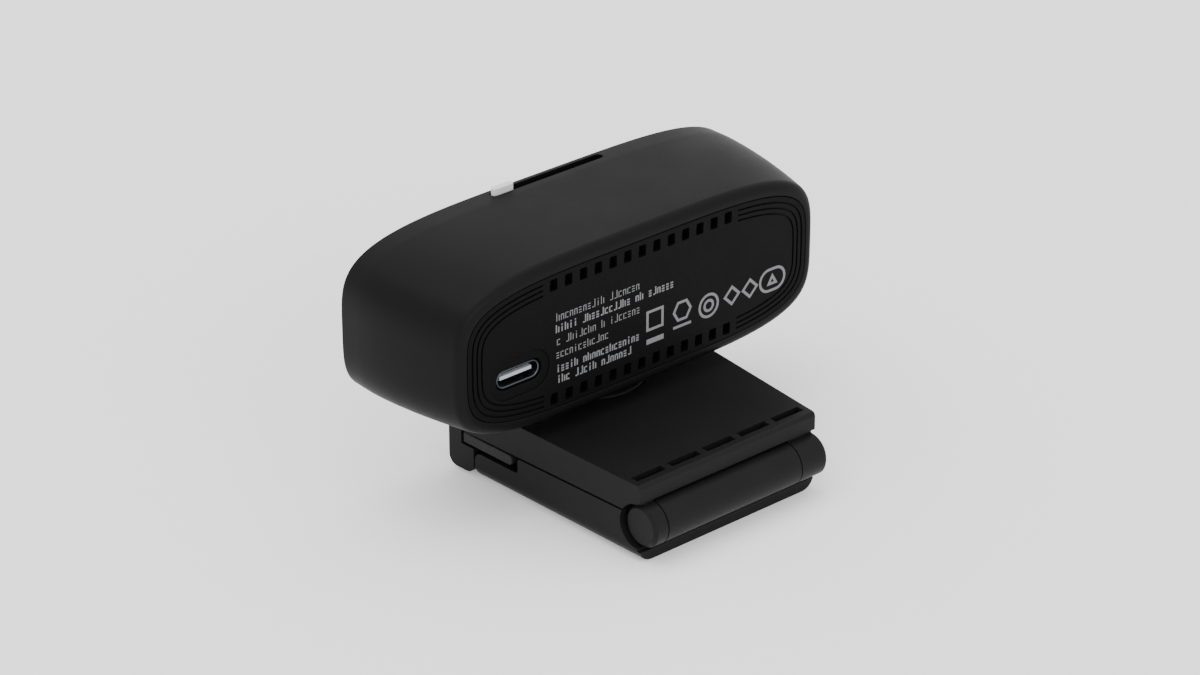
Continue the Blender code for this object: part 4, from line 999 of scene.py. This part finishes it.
@dataclass
class HeadForm:
    """The head's outline law: a straight band behind the rim, then a taper with a round shoulder."""

    exponent: float = 4.2
    count: int = 208
    band: float = 4.1 * MM
    side_taper: float = 3.7 * MM
    side_ease: float = 0.3
    band_drop: float = 0.13 * MM
    top_taper: float = 0.9 * MM
    side_law: tuple[float, float, float] = (0.7, 0.3, 2.2)
    top_law: tuple[float, float, float] = (0.6, 0.4, 2)
    side_shoulder: float = 1.1 * MM
    top_shoulder: float = 1.65 * MM

    def __post_init__(self) -> None:
        """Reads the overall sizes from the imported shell."""
        low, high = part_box("body_shell")
        self.front = low.y
        self.rear = high.y
        self.half_width = (high.x - low.x) / 2
        self.half_height = (high.z - low.z) / 2
        self.middle = (high.z + low.z) / 2
        self.rear_half_x = self.half_width - self.side_taper - self.side_shoulder
        self.rear_half_z = self.half_height - self.top_taper - self.top_shoulder

    def shoulder(self, y: float, radius: float) -> float:
        """How far a quarter round has pulled the outline in at y."""
        into = y - (self.rear - radius)
        if into <= 0:
            return 0.0
        return radius - math.sqrt(max(0.0, radius**2 - into**2))

    def section(self, y: float) -> Flat:
        """The outer half width and half height at y."""
        share = max(0.0, (y - self.front - self.band) / (self.rear - self.front - self.band))
        ease = self.side_ease
        eased = (math.hypot(share, ease) - ease) / (math.hypot(1, ease) - ease)
        straight, bent, power = self.side_law
        half_x = self.half_width - self.side_taper * (straight * eased + bent * eased**power)
        straight, bent, power = self.top_law
        half_z = self.half_height - self.top_taper * (straight * share + bent * share**power)
        half_z -= self.band_drop * max(0.0, 1 - (y - self.front) / self.band)
        return half_x - self.shoulder(y, self.side_shoulder), half_z - self.shoulder(y, self.top_shoulder)

    def ring(self, y: float, half_x: float, half_z: float) -> list[Point]:
        """The outline's points at y."""
        return [(x, y, self.middle + z) for x, z in superellipse(half_x, half_z, self.exponent, self.count)]

    def slab(
        self, half_x: float, half_z: float, low: float, high: float, edge: float, name: str
    ) -> bpy.types.Object:
        """A plate with the head's outline and rounded edges.

        Args:
            half_x: Half its width.
            half_z: Half its height.
            low: The lowest y.
            high: The highest y.
            edge: The radius of its front and rear edges.
            name: The object's name.

        Returns:
            The new object.
        """
        stations = []
        for step in range(5):
            angle = math.pi / 2 * step / 4
            stations.append((low + edge * (1 - math.sin(angle)), edge * (1 - math.cos(angle))))
        stations.reverse()
        stations += [(high + low - y, inset) for y, inset in reversed(stations)]
        rings = [self.ring(y, half_x - inset, half_z - inset) for y, inset in stations]
        return loft(rings, name)


@dataclass
class HeadCasing(Assembly):
    """The head's casing with the shutter's slot."""

    form: HeadForm
    wall: float = 1.6 * MM
    rim_wall: float = 1.2 * MM
    rim_radius: float = 0.35 * MM
    lip: float = 0.5 * MM
    ledge: float = 1.0 * MM
    panel_thickness: float = 1.6 * MM
    frame_behind_blade: float = 1.9 * MM
    opening_edge: float = 0.08 * MM
    slot_edge: float = 0.16 * MM
    slot_side_gap: float = 0.2 * MM
    slot_end_gap: float = 0.3 * MM
    neck_half_width: float = 4.3 * MM
    neck_half_depth: float = 5.36 * MM
    crease_depths: tuple[float, ...] = (-2.6 * MM, -1.2 * MM, -0.5 * MM, 0.0, 0.5 * MM)
    taper_start: float = 1.2 * MM

    def outer(self) -> list[tuple[float, float, float]]:
        """Stations (y, half width, half height) of the outside, from the front rim to the rear."""
        form = self.form
        half_x, half_z = form.section(form.front)
        stations = []
        for step in range(6):
            angle = math.pi / 2 * step / 5
            inset = self.rim_radius * (1 - math.sin(angle))
            y = form.front + self.rim_radius * (1 - math.cos(angle))
            stations.append((y, half_x - inset, half_z - inset))
        crease = form.front + form.band
        depths = [crease + depth for depth in self.crease_depths]
        start, end = crease + self.taper_start, form.rear - form.top_shoulder
        depths += [start + (end - start) * step / 12 for step in range(13)]
        for step in range(1, 13):
            depths.append(form.rear - form.top_shoulder * (1 - math.sin(math.pi / 2 * step / 12)))
        stations += [(y, *form.section(y)) for y in depths]
        return stations

    def inner(self) -> list[tuple[float, float, float]]:
        """Stations of the inside, from the rear opening to the front rim."""
        form = self.form
        ledge_y = form.rear - self.panel_thickness
        open_x, open_z = form.rear_half_x - self.lip, form.rear_half_z - self.lip
        soft = self.opening_edge
        stations = [
            (form.rear, open_x + soft, open_z + soft),
            (form.rear - soft, open_x, open_z),
            (ledge_y, open_x, open_z),
            (ledge_y, open_x - self.ledge, open_z - self.ledge),
            (ledge_y - self.ledge, open_x - self.ledge, open_z - self.ledge),
        ]
        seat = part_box("shutter_blade")[1].y + self.frame_behind_blade
        depth = ledge_y - 2 * self.ledge - seat
        for step in range(4):
            y = seat + depth * (3 - step) / 3
            half_x, half_z = form.section(y)
            stations.append((y, half_x - self.wall, half_z - self.wall))
        rim_x, rim_z = form.half_width - self.rim_wall, form.half_height - self.rim_wall
        stations.append((seat, rim_x, rim_z))
        stations.append((form.front + soft, rim_x, rim_z))
        stations.append((form.front, rim_x + soft, rim_z + soft))
        return stations

    def slot_cutter(self) -> bpy.types.Object:
        """The shutter slot's solid, flared where it leaves the top."""
        form = self.form
        knob_low, knob_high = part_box("shutter_knob")
        y = (knob_low.y + knob_high.y) / 2
        width = knob_high.y - knob_low.y + 2 * self.slot_side_gap
        length = 2 * (knob_high.x + self.slot_end_gap)
        top = form.middle + form.half_height
        levels = [
            (top - form.half_height / 2, 0.0),
            (top - self.slot_edge, 0.0),
            (top + self.slot_edge, 2 * self.slot_edge),
        ]
        rings = []
        for z, grown in levels:
            rings.append([(px, y + py, z) for px, py in stadium(length + 2 * grown, width + 2 * grown)])
        return loft(rings, "slot")

    def neck_opening(self) -> bpy.types.Object:
        """The opening in the floor for the neck."""
        floor = self.form.middle - self.form.half_height
        low = (-self.neck_half_width, -self.neck_half_depth, floor - 2 * MM)
        high = (self.neck_half_width, self.neck_half_depth, floor + 4 * MM)
        return block(low, high, "opening")

    def build(self) -> None:
        """Builds and dresses the casing."""
        rings = [self.form.ring(*station) for station in self.outer() + self.inner()]
        casing = loft(rings, "head_casing", closed=True)
        cut(casing, self.slot_cutter(), self.neck_opening())
        shade(casing)
        self.hand_over(casing, "head", "body", "satin_body", ["body_shell"])


@dataclass
class RearCover(Assembly):
    """The flat rear cover with its vents, end grooves and inlet recess, and the dust mesh behind it."""

    form: HeadForm
    gap: float = 0.12 * MM
    edge: float = 0.12 * MM
    vent_count: int = 13
    vent_pitch: float = 3.16 * MM
    vent: tuple[float, float, float] = (1.6 * MM, 2.1 * MM, 0.22 * MM)
    vent_inset: float = 2.53 * MM
    groove_insets: tuple[float, ...] = (0.95 * MM, 1.9 * MM, 2.85 * MM)
    groove_width: float = 0.34 * MM
    groove_depth: float = 0.3 * MM
    groove_start: float = 21.2 * MM
    groove_steps: int = 56
    casing_lip: float = 0.5 * MM
    recess: tuple[float, float, float] = (12.5 * MM, 7.35 * MM, 0.35 * MM)
    recess_edge: float = 0.18 * MM
    hole_gap: float = 0.3 * MM
    cutter_depth: float = 8 * MM
    mesh_half_height: float = 1.2 * MM
    mesh_depths: Flat = (0.45 * MM, 0.1 * MM)

    def vents(self, side: int) -> bpy.types.Object:
        """The solids of one row of vents.

        Args:
            side: 1 for the upper row and -1 for the lower.

        Returns:
            The row.
        """
        z = self.form.middle + side * (self.form.rear_half_z - self.vent_inset)
        place = Matrix.Translation((0, self.form.rear, z)) @ Matrix.Rotation(math.pi / 2, 4, "X")
        width, height, corner = self.vent
        row = PrismRow(self.wardrobe.get("panel"))
        return row.make(
            f"vents_{side}", place, Count=self.vent_count, Pitch=self.vent_pitch, Width=width, Depth=height,
            Corner=corner, Height=self.cutter_depth,
        )

    def grooves(self) -> list[bpy.types.Object]:
        """The solids of the three grooves round each end."""
        tree = EndGroove(self.wardrobe.get("panel"), self.form.exponent)
        made = []
        for side in (1, -1):
            turn = Matrix.Rotation(math.pi / 2, 4, "X")
            if side < 0:
                turn = Matrix.Rotation(math.pi, 4, "Y") @ turn
            place = Matrix.Translation((0, self.form.rear, self.form.middle)) @ turn
            for number, inset in enumerate(self.groove_insets):
                made.append(
                    tree.make(
                        f"groove_{side}_{number}", place, Half_X=self.form.rear_half_x - self.lip() - inset,
                        Half_Z=self.form.rear_half_z - self.lip() - inset, Start_X=self.groove_start,
                        Width=self.groove_width, Depth=2 * self.groove_depth, Steps=self.groove_steps,
                    )
                )
        return made

    def lip(self) -> float:
        """How far the cover's edge lies in from the rear outline."""
        return self.casing_lip + self.gap

    def inlet_cutters(self) -> list[bpy.types.Object]:
        """The inlet's recess with its soft edge, and its hole."""
        low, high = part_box("usb_c_shell")
        x, z = (low.x + high.x) / 2, (low.z + high.z) / 2
        width, height, depth = self.recess
        rear = self.form.rear
        soft = self.recess_edge
        made = []
        for steps, (wide, tall) in (
            (((rear - depth, 0.0), (rear - soft, 0.0), (rear + soft, 2 * soft)), (width, height)),
            (
                ((rear - 6 * MM, 0.0), (rear - depth - soft, 0.0), (rear - depth + soft, 2 * soft)),
                (high.x - low.x + 2 * self.hole_gap, high.z - low.z + 2 * self.hole_gap),
            ),
        ):
            rings = []
            for y, grown in steps:
                outline = stadium(wide + 2 * grown, tall + 2 * grown, 24)
                rings.append([(x + px, y, z + pz) for px, pz in outline])
            made.append(loft(rings, "inlet"))
        return made

    def build(self) -> None:
        """Builds and dresses the cover."""
        low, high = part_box("rear_panel")
        half_x, half_z = self.form.rear_half_x - self.lip(), self.form.rear_half_z - self.lip()
        cover = self.form.slab(half_x, half_z, low.y, high.y, self.edge, "rear_cover")
        cut(cover, self.vents(1), self.vents(-1))
        cut(cover, *self.grooves())
        cut(cover, *self.inlet_cutters())
        shade(cover)
        self.hand_over(cover, "head", "panel", "rear_panel", ["rear_panel"])
        self.build_dust_mesh(low.y)

    def build_dust_mesh(self, front: float) -> None:
        """Thin dark mesh strips behind the two rows of vents.

        Args:
            front: The cover's inner face.
        """
        strips = []
        half_x = (self.vent_count * self.vent_pitch) / 2
        for side in (1, -1):
            z = self.form.middle + side * (self.form.rear_half_z - self.vent_inset)
            low = (-half_x, front - self.mesh_depths[0], z - self.mesh_half_height)
            high = (half_x, front - self.mesh_depths[1], z + self.mesh_half_height)
            strips.append(block(low, high, f"strip_{side}"))
        strip = soften(merge("vent_dust_mesh", strips), 0.1 * MM, 2)
        self.hand_over(shade(strip), "head", "dust", "inner_plastic")


@dataclass(frozen=True)
class Sign:
    """A plain many-sided outline, its centre and radius in millimetres and its turn in radians."""

    x: float
    z: float
    radius: float
    sides: int
    turn: float = 0.0


@dataclass
class PrintedMarks(Assembly):
    """Neutral print on the rear cover: rows of unreadable shapes and plain signs, in millimetres."""

    form: HeadForm
    thickness: float = 0.03 * MM
    pitch: float = 0.95
    row_height: float = 1.45
    line: float = 0.5
    # Start, end and base line of each row, and its strokes' weight
    rows: tuple[tuple[float, float, float, float], ...] = (
        (18.7, 0.4, 3.6, 0.17),
        (18.7, -7.0, 1.5, 0.27),
        (18.7, 0.2, -0.8, 0.17),
        (18.7, 7.2, -3.2, 0.17),
        (18.7, 0.4, -5.8, 0.27),
        (18.7, 2.0, -7.8, 0.27),
    )
    # Centre, width and height of each solid bar
    bars: tuple[tuple[float, float, float, float], ...] = ((-2.9, -6.9, 3.8, 0.95), (-8.9, -6.3, 4.0, 0.5))
    outlines: tuple[Sign, ...] = (
        Sign(-2.85, -3.05, 2.7, 4, math.pi / 4),
        Sign(-8.9, -3.5, 2.15, 6),
        Sign(-14.85, -4.6, 2.3, 40),
        Sign(-14.85, -4.6, 1.2, 40),
        Sign(-20.1, -4.45, 1.95, 4),
        Sign(-24.2, -4.45, 1.95, 4),
        Sign(-29.35, -4.7, 1.45, 3, math.pi / 2),
    )
    oblong: tuple[float, float, float, float] = (-29.35, -4.45, 6.1, 4.5)

    def glyph_row(
        self, tree: PatternTree, row: tuple[float, float, float, float], number: int
    ) -> bpy.types.Object:
        """One row of unreadable shapes.

        Args:
            tree: The tree that makes it.
            row: Start, end and base line, and the strokes' weight.
            number: The row's number, which seeds it.

        Returns:
            The row.
        """
        start, end, base, weight = row
        count = int((start - end) / self.pitch)
        middle = (start + end) / 2
        place = Matrix.Translation((middle * MM, self.form.rear, self.form.middle + base * MM))
        return tree.make(
            f"row_{number}", place, Count=count, Pitch=self.pitch * MM, Weight=weight * MM,
            Height=self.row_height * MM, Thickness=self.thickness, Seed=number + 3,
        )

    def build(self) -> None:
        """Builds and dresses the print."""
        tree = StrokeText(self.wardrobe.get("ink"))
        pieces = [self.glyph_row(tree, row, number) for number, row in enumerate(self.rows)]
        pieces += self.signs()
        marks = merge("printed_marks", pieces)
        self.hand_over(marks, "head", "ink", "light_grey")

    def outline_sign(
        self, outer: Sequence[Flat], inner: Sequence[Flat], x: float, z: float
    ) -> bpy.types.Object:
        """A sign drawn as a line between two outlines with the same number of points.

        Args:
            outer: The outer outline, about the sign's centre.
            inner: The inner outline.
            x: The centre's place along the cover.
            z: The centre's height above the head's middle.

        Returns:
            The sign.
        """
        half = self.thickness / 2
        middle = self.form.middle
        rings = []
        for outline, y in ((outer, -half), (outer, half), (inner, half), (inner, -half)):
            rings.append([((x + px) * MM, self.form.rear + y, middle + (z + pz) * MM) for px, pz in outline])
        return loft(rings, "sign", closed=True)

    @staticmethod
    def polygon(radius: float, sides: int, turn: float) -> list[Flat]:
        """A regular polygon's points."""
        angles = [turn + 2 * math.pi * step / sides for step in range(sides)]
        return [(radius * math.cos(a), radius * math.sin(a)) for a in angles]

    def bar(self, x: float, z: float, width: float, height: float) -> bpy.types.Object:
        """A solid bar about a point."""
        half = self.thickness / 2
        middle, rear = self.form.middle, self.form.rear
        low = ((x - width / 2) * MM, rear - half, middle + (z - height / 2) * MM)
        high = ((x + width / 2) * MM, rear + half, middle + (z + height / 2) * MM)
        return block(low, high, "bar")

    def signs(self) -> list[bpy.types.Object]:
        """The plain shapes beside the rows."""
        made = [self.bar(*bar) for bar in self.bars]
        for sign in self.outlines:
            outer = self.polygon(sign.radius, sign.sides, sign.turn)
            narrower = sign.radius - self.line / math.cos(math.pi / sign.sides)
            inner = self.polygon(narrower, sign.sides, sign.turn)
            made.append(self.outline_sign(outer, inner, sign.x, sign.z))
        x, z, width, height = self.oblong
        outer, inner = (stadium(width - 2 * inset, height - 2 * inset) for inset in (0.0, self.line))
        made.append(self.outline_sign(outer, inner, x, z))
        return made


@dataclass
class Inlet(Assembly):
    """The inlet's metal shell and tongue with its contacts."""

    wall: float = 0.3 * MM
    contact_count: int = 12
    contact_pitch: float = 0.5 * MM
    contact_width: float = 0.26 * MM
    contact_length: float = 3.2 * MM
    contact_height: float = 0.05 * MM
    contact_proud: float = 0.005 * MM
    contact_inset: float = 0.6 * MM
    shell_edge: float = 0.08 * MM
    shell_back: float = 0.5 * MM
    tongue_edge: float = 0.12 * MM

    def build(self) -> None:
        """Builds and dresses the shell, the tongue and the contacts."""
        low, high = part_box("usb_c_shell")
        x, z = (low.x + high.x) / 2, (low.z + high.z) / 2
        width, height = high.x - low.x, high.z - low.z
        soft = self.shell_edge
        stations = [
            (low.y, 0.0), (high.y - soft, 0.0), (high.y, soft), (high.y, self.wall - soft),
            (high.y - soft, self.wall), (low.y + self.shell_back, self.wall),
        ]
        rings = []
        for y, inset in stations:
            outline = stadium(width - 2 * inset, height - 2 * inset, 24)
            rings.append([(x + px, y, z + pz) for px, pz in outline])
        shell = shade(loft(rings, "inlet_shell"))
        self.hand_over(shell, "head", "inlet", "inlet_steel", ["usb_c_shell"])

        low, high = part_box("usb_c_tongue")
        tongue = soften(block(low, high, "inlet_tongue"), self.tongue_edge, 3)
        self.hand_over(shade(tongue), "head", "tongue", "chip", ["usb_c_tongue"])
        tree = PrismRow(self.wardrobe.get("gold"))
        rows = []
        y = high.y - self.contact_inset - self.contact_length / 2
        for level, side in ((high.z, 1), (low.z, -1)):
            place = Matrix.Translation((x, y, level + side * self.contact_proud))
            rows.append(
                tree.make(
                    f"contacts_{side}", place, Count=self.contact_count, Pitch=self.contact_pitch,
                    Width=self.contact_width, Depth=self.contact_length, Corner=self.contact_height,
                    Height=self.contact_height,
                )
            )
        self.hand_over(merge("inlet_contacts", rows), "head", "gold", "inlet_steel")


@dataclass
class FrontFace(Assembly):
    """The gloss window, the lens ring and the glass."""

    form: HeadForm
    edge: float = 0.3 * MM
    port_edge: float = 0.12 * MM
    ring_gap: float = 0.15 * MM
    pipe_gap: float = 0.1 * MM
    microphone_port: float = 0.6 * MM
    ring_bore: float = 5.2 * MM
    cover_edge: float = 0.08 * MM
    barrel_edge: float = 0.1 * MM
    barrel_wall: float = 0.8 * MM
    thread_start: float = 1.2 * MM
    thread_end: float = 0.6 * MM
    thread_pitch: float = 0.5 * MM
    thread_depth: float = 0.12 * MM
    dome_height: float = 0.5 * MM
    dome_steps: int = 12

    def build(self) -> None:
        """Builds and dresses the front."""
        form = self.form
        low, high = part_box("front_window")
        half_x, half_z = (high.x - low.x) / 2, (high.z - low.z) / 2
        window = form.slab(half_x, half_z, low.y, high.y, self.edge, "window")
        lens = (0, 0, form.middle)
        ring_low, ring_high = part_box("lens_bezel")
        radius = (ring_high.x - ring_low.x) / 2
        cutters = [self.port((0, form.middle), radius + self.ring_gap, low.y)]
        for name in ("light_pipe", "microphone_left", "microphone_right"):
            port_low, port_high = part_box(name)
            size = self.microphone_port
            if name == "light_pipe":
                size = (port_high.x - port_low.x) / 2 + self.pipe_gap
            cutters.append(self.port(((port_low.x + port_high.x) / 2, form.middle), size, low.y))
        cut(window, *cutters)
        self.hand_over(shade(window), "head", "window", "gloss_window", ["front_window"])

        front, back = ring_low.y, ring_high.y
        inner = self.ring_bore
        # From the back of the outside, round the front lip and down the cone to the bore
        profile = [
            (back, radius), (front + 0.18 * MM, radius), (front + 0.05 * MM, radius - 0.06 * MM),
            (front, radius - 0.2 * MM), (front, radius - 0.75 * MM), (front + 0.12 * MM, radius - 0.85 * MM),
            (front + 0.16 * MM, radius - 1.0 * MM), (front + 0.62 * MM, inner + 0.35 * MM),
            (front + 0.66 * MM, inner + 0.1 * MM), (front + 0.72 * MM, inner), (back, inner),
        ]
        ring = turned(Axis.Y, lens, profile, "lens_ring", 128, closed=True)
        self.hand_over(shade(ring), "head", "bezel", "lens_bezel", ["lens_bezel"])
        self.build_lens(lens)

    def port(self, at: Flat, radius: float, front: float) -> bpy.types.Object:
        """A round cutter through the window with a countersunk edge.

        Args:
            at: Its x and z.
            radius: Its radius.
            front: The window's front face.

        Returns:
            The cutter.
        """
        edge = self.port_edge
        profile = [(-edge, radius + 2 * edge), (edge, radius), (4 * MM, radius)]
        return turned(Axis.Y, (at[0], front, at[1]), profile, "port", 96)

    def build_lens(self, lens: Point) -> None:
        """The cover glass, the stepped barrel and the coated front element.

        Args:
            lens: A point on the lens's axis.
        """
        low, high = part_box("lens_cover")
        radius = (high.x - low.x) / 2
        soft = self.cover_edge
        profile = [
            (low.y, radius - soft), (low.y + soft, radius), (high.y - soft, radius), (high.y, radius - soft),
        ]
        glass = turned(Axis.Y, lens, profile, "cover_glass", 96)
        self.hand_over(shade(glass), "head", "cover", "clear_glass", ["lens_cover"])

        low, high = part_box("lens_barrel")
        radius = (high.x - low.x) / 2
        bore = radius - self.barrel_wall
        soft = self.barrel_edge
        deep = self.thread_depth
        profile = [(low.y, radius - soft), (low.y + soft, radius)]
        y = low.y + self.thread_start
        while y < high.y - self.thread_end:
            profile += [(y, radius), (y + deep, radius - deep), (y + 2 * deep, radius)]
            y += self.thread_pitch
        profile += [(high.y, radius), (high.y, bore), (low.y + 0.35 * MM, bore), (low.y, bore + 0.25 * MM)]
        barrel = turned(Axis.Y, lens, profile, "focus_barrel", 96, closed=True)
        self.hand_over(shade(barrel), "head", "inner", "inner_plastic", ["lens_barrel"])

        low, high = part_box("lens_glass")
        radius = (high.x - low.x) / 2
        profile = []
        for step in range(1, self.dome_steps + 1):
            angle = math.pi / 2 * step / self.dome_steps
            profile.append((low.y + self.dome_height * (1 - math.cos(angle)), radius * math.sin(angle)))
        profile.append((high.y, radius))
        element = turned(Axis.Y, lens, profile, "front_element", 96)
        self.hand_over(shade(element), "head", "lens", "coated_glass", ["lens_glass"])


@dataclass
class ShutterSlide(Assembly):
    """The shutter's knob and blade."""

    knob: Refined = Refined(
        "shutter_knob", "slide_knob", "shutter", "knob", "light_grey", 0.14 * MM, 3, 25
    )
    blade: Refined = Refined(
        "shutter_blade", "slide_blade", "shutter", "blade", "shutter_black", 0.08 * MM, 2, 30
    )

    def build(self) -> None:
        """Builds and dresses the knob and the blade."""
        self.refine(self.knob)
        self.refine(self.blade)


@dataclass
class Clip(Assembly):
    """The clip's plate, its rubber tongue, the folding leg and the swivel foot."""

    pieces: tuple[Refined, ...] = (
        Refined("clip_plate", "plate", "clip", "clip", "clip_plastic", 0.16 * MM),
        Refined("grip_pad", "grip_tongue", "clip", "rubber", "soft_rubber", 0.2 * MM, 3),
        Refined("leg_shell", "leg", "leg", "clip", "clip_plastic", 0.16 * MM),
        Refined("swivel_base", "swivel_foot", "swivel", "clip", "clip_plastic", 0.16 * MM),
    )

    def build(self) -> None:
        """Builds and dresses the clip."""
        for piece in self.pieces:
            self.refine(piece)


@dataclass
class InnerWorks(Assembly):
    """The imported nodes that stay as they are, each with its finish by the start of its name."""

    finish_of: tuple[tuple[str, str], ...] = (
        ("clip_cover_screw", "steel"),
        ("leg_cover_screw", "steel"),
        ("board_screw", "steel"),
        ("bracket_screw", "steel"),
        ("clip_cover", "inner"),
        ("leg_cover", "inner"),
        ("leg_pad", "rubber"),
        ("mic_gasket", "rubber"),
        ("hinge", "steel"),
        ("swivel", "steel"),
        ("tilt", "steel"),
        ("microphone", "steel"),
        ("tripod_insert", "brass"),
        ("light_pipe", "pipe"),
        ("status_led", "led"),
        ("main_board", "board"),
        ("processor_chip", "chip"),
        ("image_sensor", "chip"),
    )

    def build(self) -> None:
        """Dresses every node that is still shown."""
        for name, node in sorted(self.nodes.items()):
            if node.hide_render:
                continue
            finish = next((finish for start, finish in self.finish_of if name.startswith(start)), "inner")
            self.wardrobe.dress(node, finish)
            log.info("%s: %s", name, finish)


# ---- studio ----


@dataclass(frozen=True)
class Softbox:
    """A soft rectangular light: where it stands, its width and height, and its power in watts."""

    name: str
    at: Point
    size: Flat
    power: float


@dataclass
class Studio:
    """Camera, floor, surroundings and lights."""

    camera_at: Point = (0.3772, 0.4425, 0.3266)
    forward: Point = (-0.5760, -0.6720, -0.4653)
    up: Point = (-0.3028, -0.3533, 0.8851)
    lens: float = 117.0
    sensor: float = 36.0
    clip: Flat = (0.01, 50.0)
    floor_half: float = 6.0
    floor_gap: float = 0.05 * MM
    floor_thickness: float = 10 * MM
    floor_tones: Flat = (0.80, 0.82)
    floor_mottling: float = 0.4
    floor_roughness: float = 0.9
    floor_glow: float = 0.25
    world: float = 1.5
    aim: Point = (0, 0, 0.03)
    softboxes: tuple[Softbox, ...] = (
        Softbox("top", (0.2, -0.1, 1.3), (1.2, 1.2), 11),
        Softbox("rear softbox", (0.15, 1.3, 0.75), (1.3, 0.45), 7),
    )

    def add_camera(self) -> None:
        """Adds the camera and makes it the scene's own."""
        data = bpy.data.cameras.new("camera")
        data.lens = self.lens
        data.sensor_width = self.sensor
        data.clip_start, data.clip_end = self.clip
        camera = put(data, "camera")
        back = -Vector(self.forward).normalized()
        upright = (Vector(self.up) - back * Vector(self.up).dot(back)).normalized()
        right = upright.cross(back)
        rotation = Matrix((right, upright, back)).transposed().to_4x4()
        camera.matrix_world = Matrix.Translation(self.camera_at) @ rotation
        bpy.context.scene.camera = camera

    def add_floor(self) -> None:
        """Adds the pale floor."""
        half, top = self.floor_half, -self.floor_gap
        floor = block((-half, -half, top - self.floor_thickness), (half, half, top), "floor")
        recipe = Recipe("pale floor")
        soft = recipe.noise(self.floor_mottling, 2)
        darker, paler = self.floor_tones
        recipe.feed("Base Color", recipe.tint(soft, (darker,) * 3, (paler,) * 3))
        recipe.feed("Roughness", self.floor_roughness)
        recipe.feed("Specular IOR Level", 0.0)
        recipe.feed("Emission Color", (1.0, 1.0, 1.0, 1.0))
        recipe.feed("Emission Strength", self.floor_glow)
        floor.data.materials.append(recipe.material)

    def add_light(self, softbox: Softbox) -> None:
        """Adds a light that faces the webcam.

        Args:
            softbox: The light.
        """
        data = bpy.data.lights.new(softbox.name, "AREA")
        data.shape = "RECTANGLE"
        data.size, data.size_y = softbox.size
        data.energy = softbox.power
        light = put(data, softbox.name)
        turn = (Vector(self.aim) - Vector(softbox.at)).to_track_quat("-Z", "Y")
        light.matrix_world = Matrix.Translation(softbox.at) @ turn.to_matrix().to_4x4()

    def build(self) -> None:
        """Builds the studio."""
        self.add_camera()
        self.add_floor()
        world = bpy.data.worlds.new("studio")
        world.use_nodes = True
        background = world.node_tree.nodes["Background"]
        background.inputs["Color"].default_value = (1, 1, 1, 1)
        background.inputs["Strength"].default_value = self.world
        bpy.context.scene.world = world
        for softbox in self.softboxes:
            self.add_light(softbox)
        log.info("studio ready")


def main() -> None:
    """Builds the webcam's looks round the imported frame."""
    logging.basicConfig(level=logging.INFO, format="%(name)s: %(message)s")
    for startup in list(bpy.data.objects):
        bpy.data.objects.remove(startup)
    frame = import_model()
    Studio().build()
    wardrobe = Wardrobe()
    nodes = frame["nodes"]
    form = HeadForm()
    HeadCasing(wardrobe, nodes, form).build()
    RearCover(wardrobe, nodes, form).build()
    PrintedMarks(wardrobe, nodes, form).build()
    Inlet(wardrobe, nodes).build()
    FrontFace(wardrobe, nodes, form).build()
    ShutterSlide(wardrobe, nodes).build()
    Clip(wardrobe, nodes).build()
    InnerWorks(wardrobe, nodes).build()


if __name__ == "__main__":
    main()
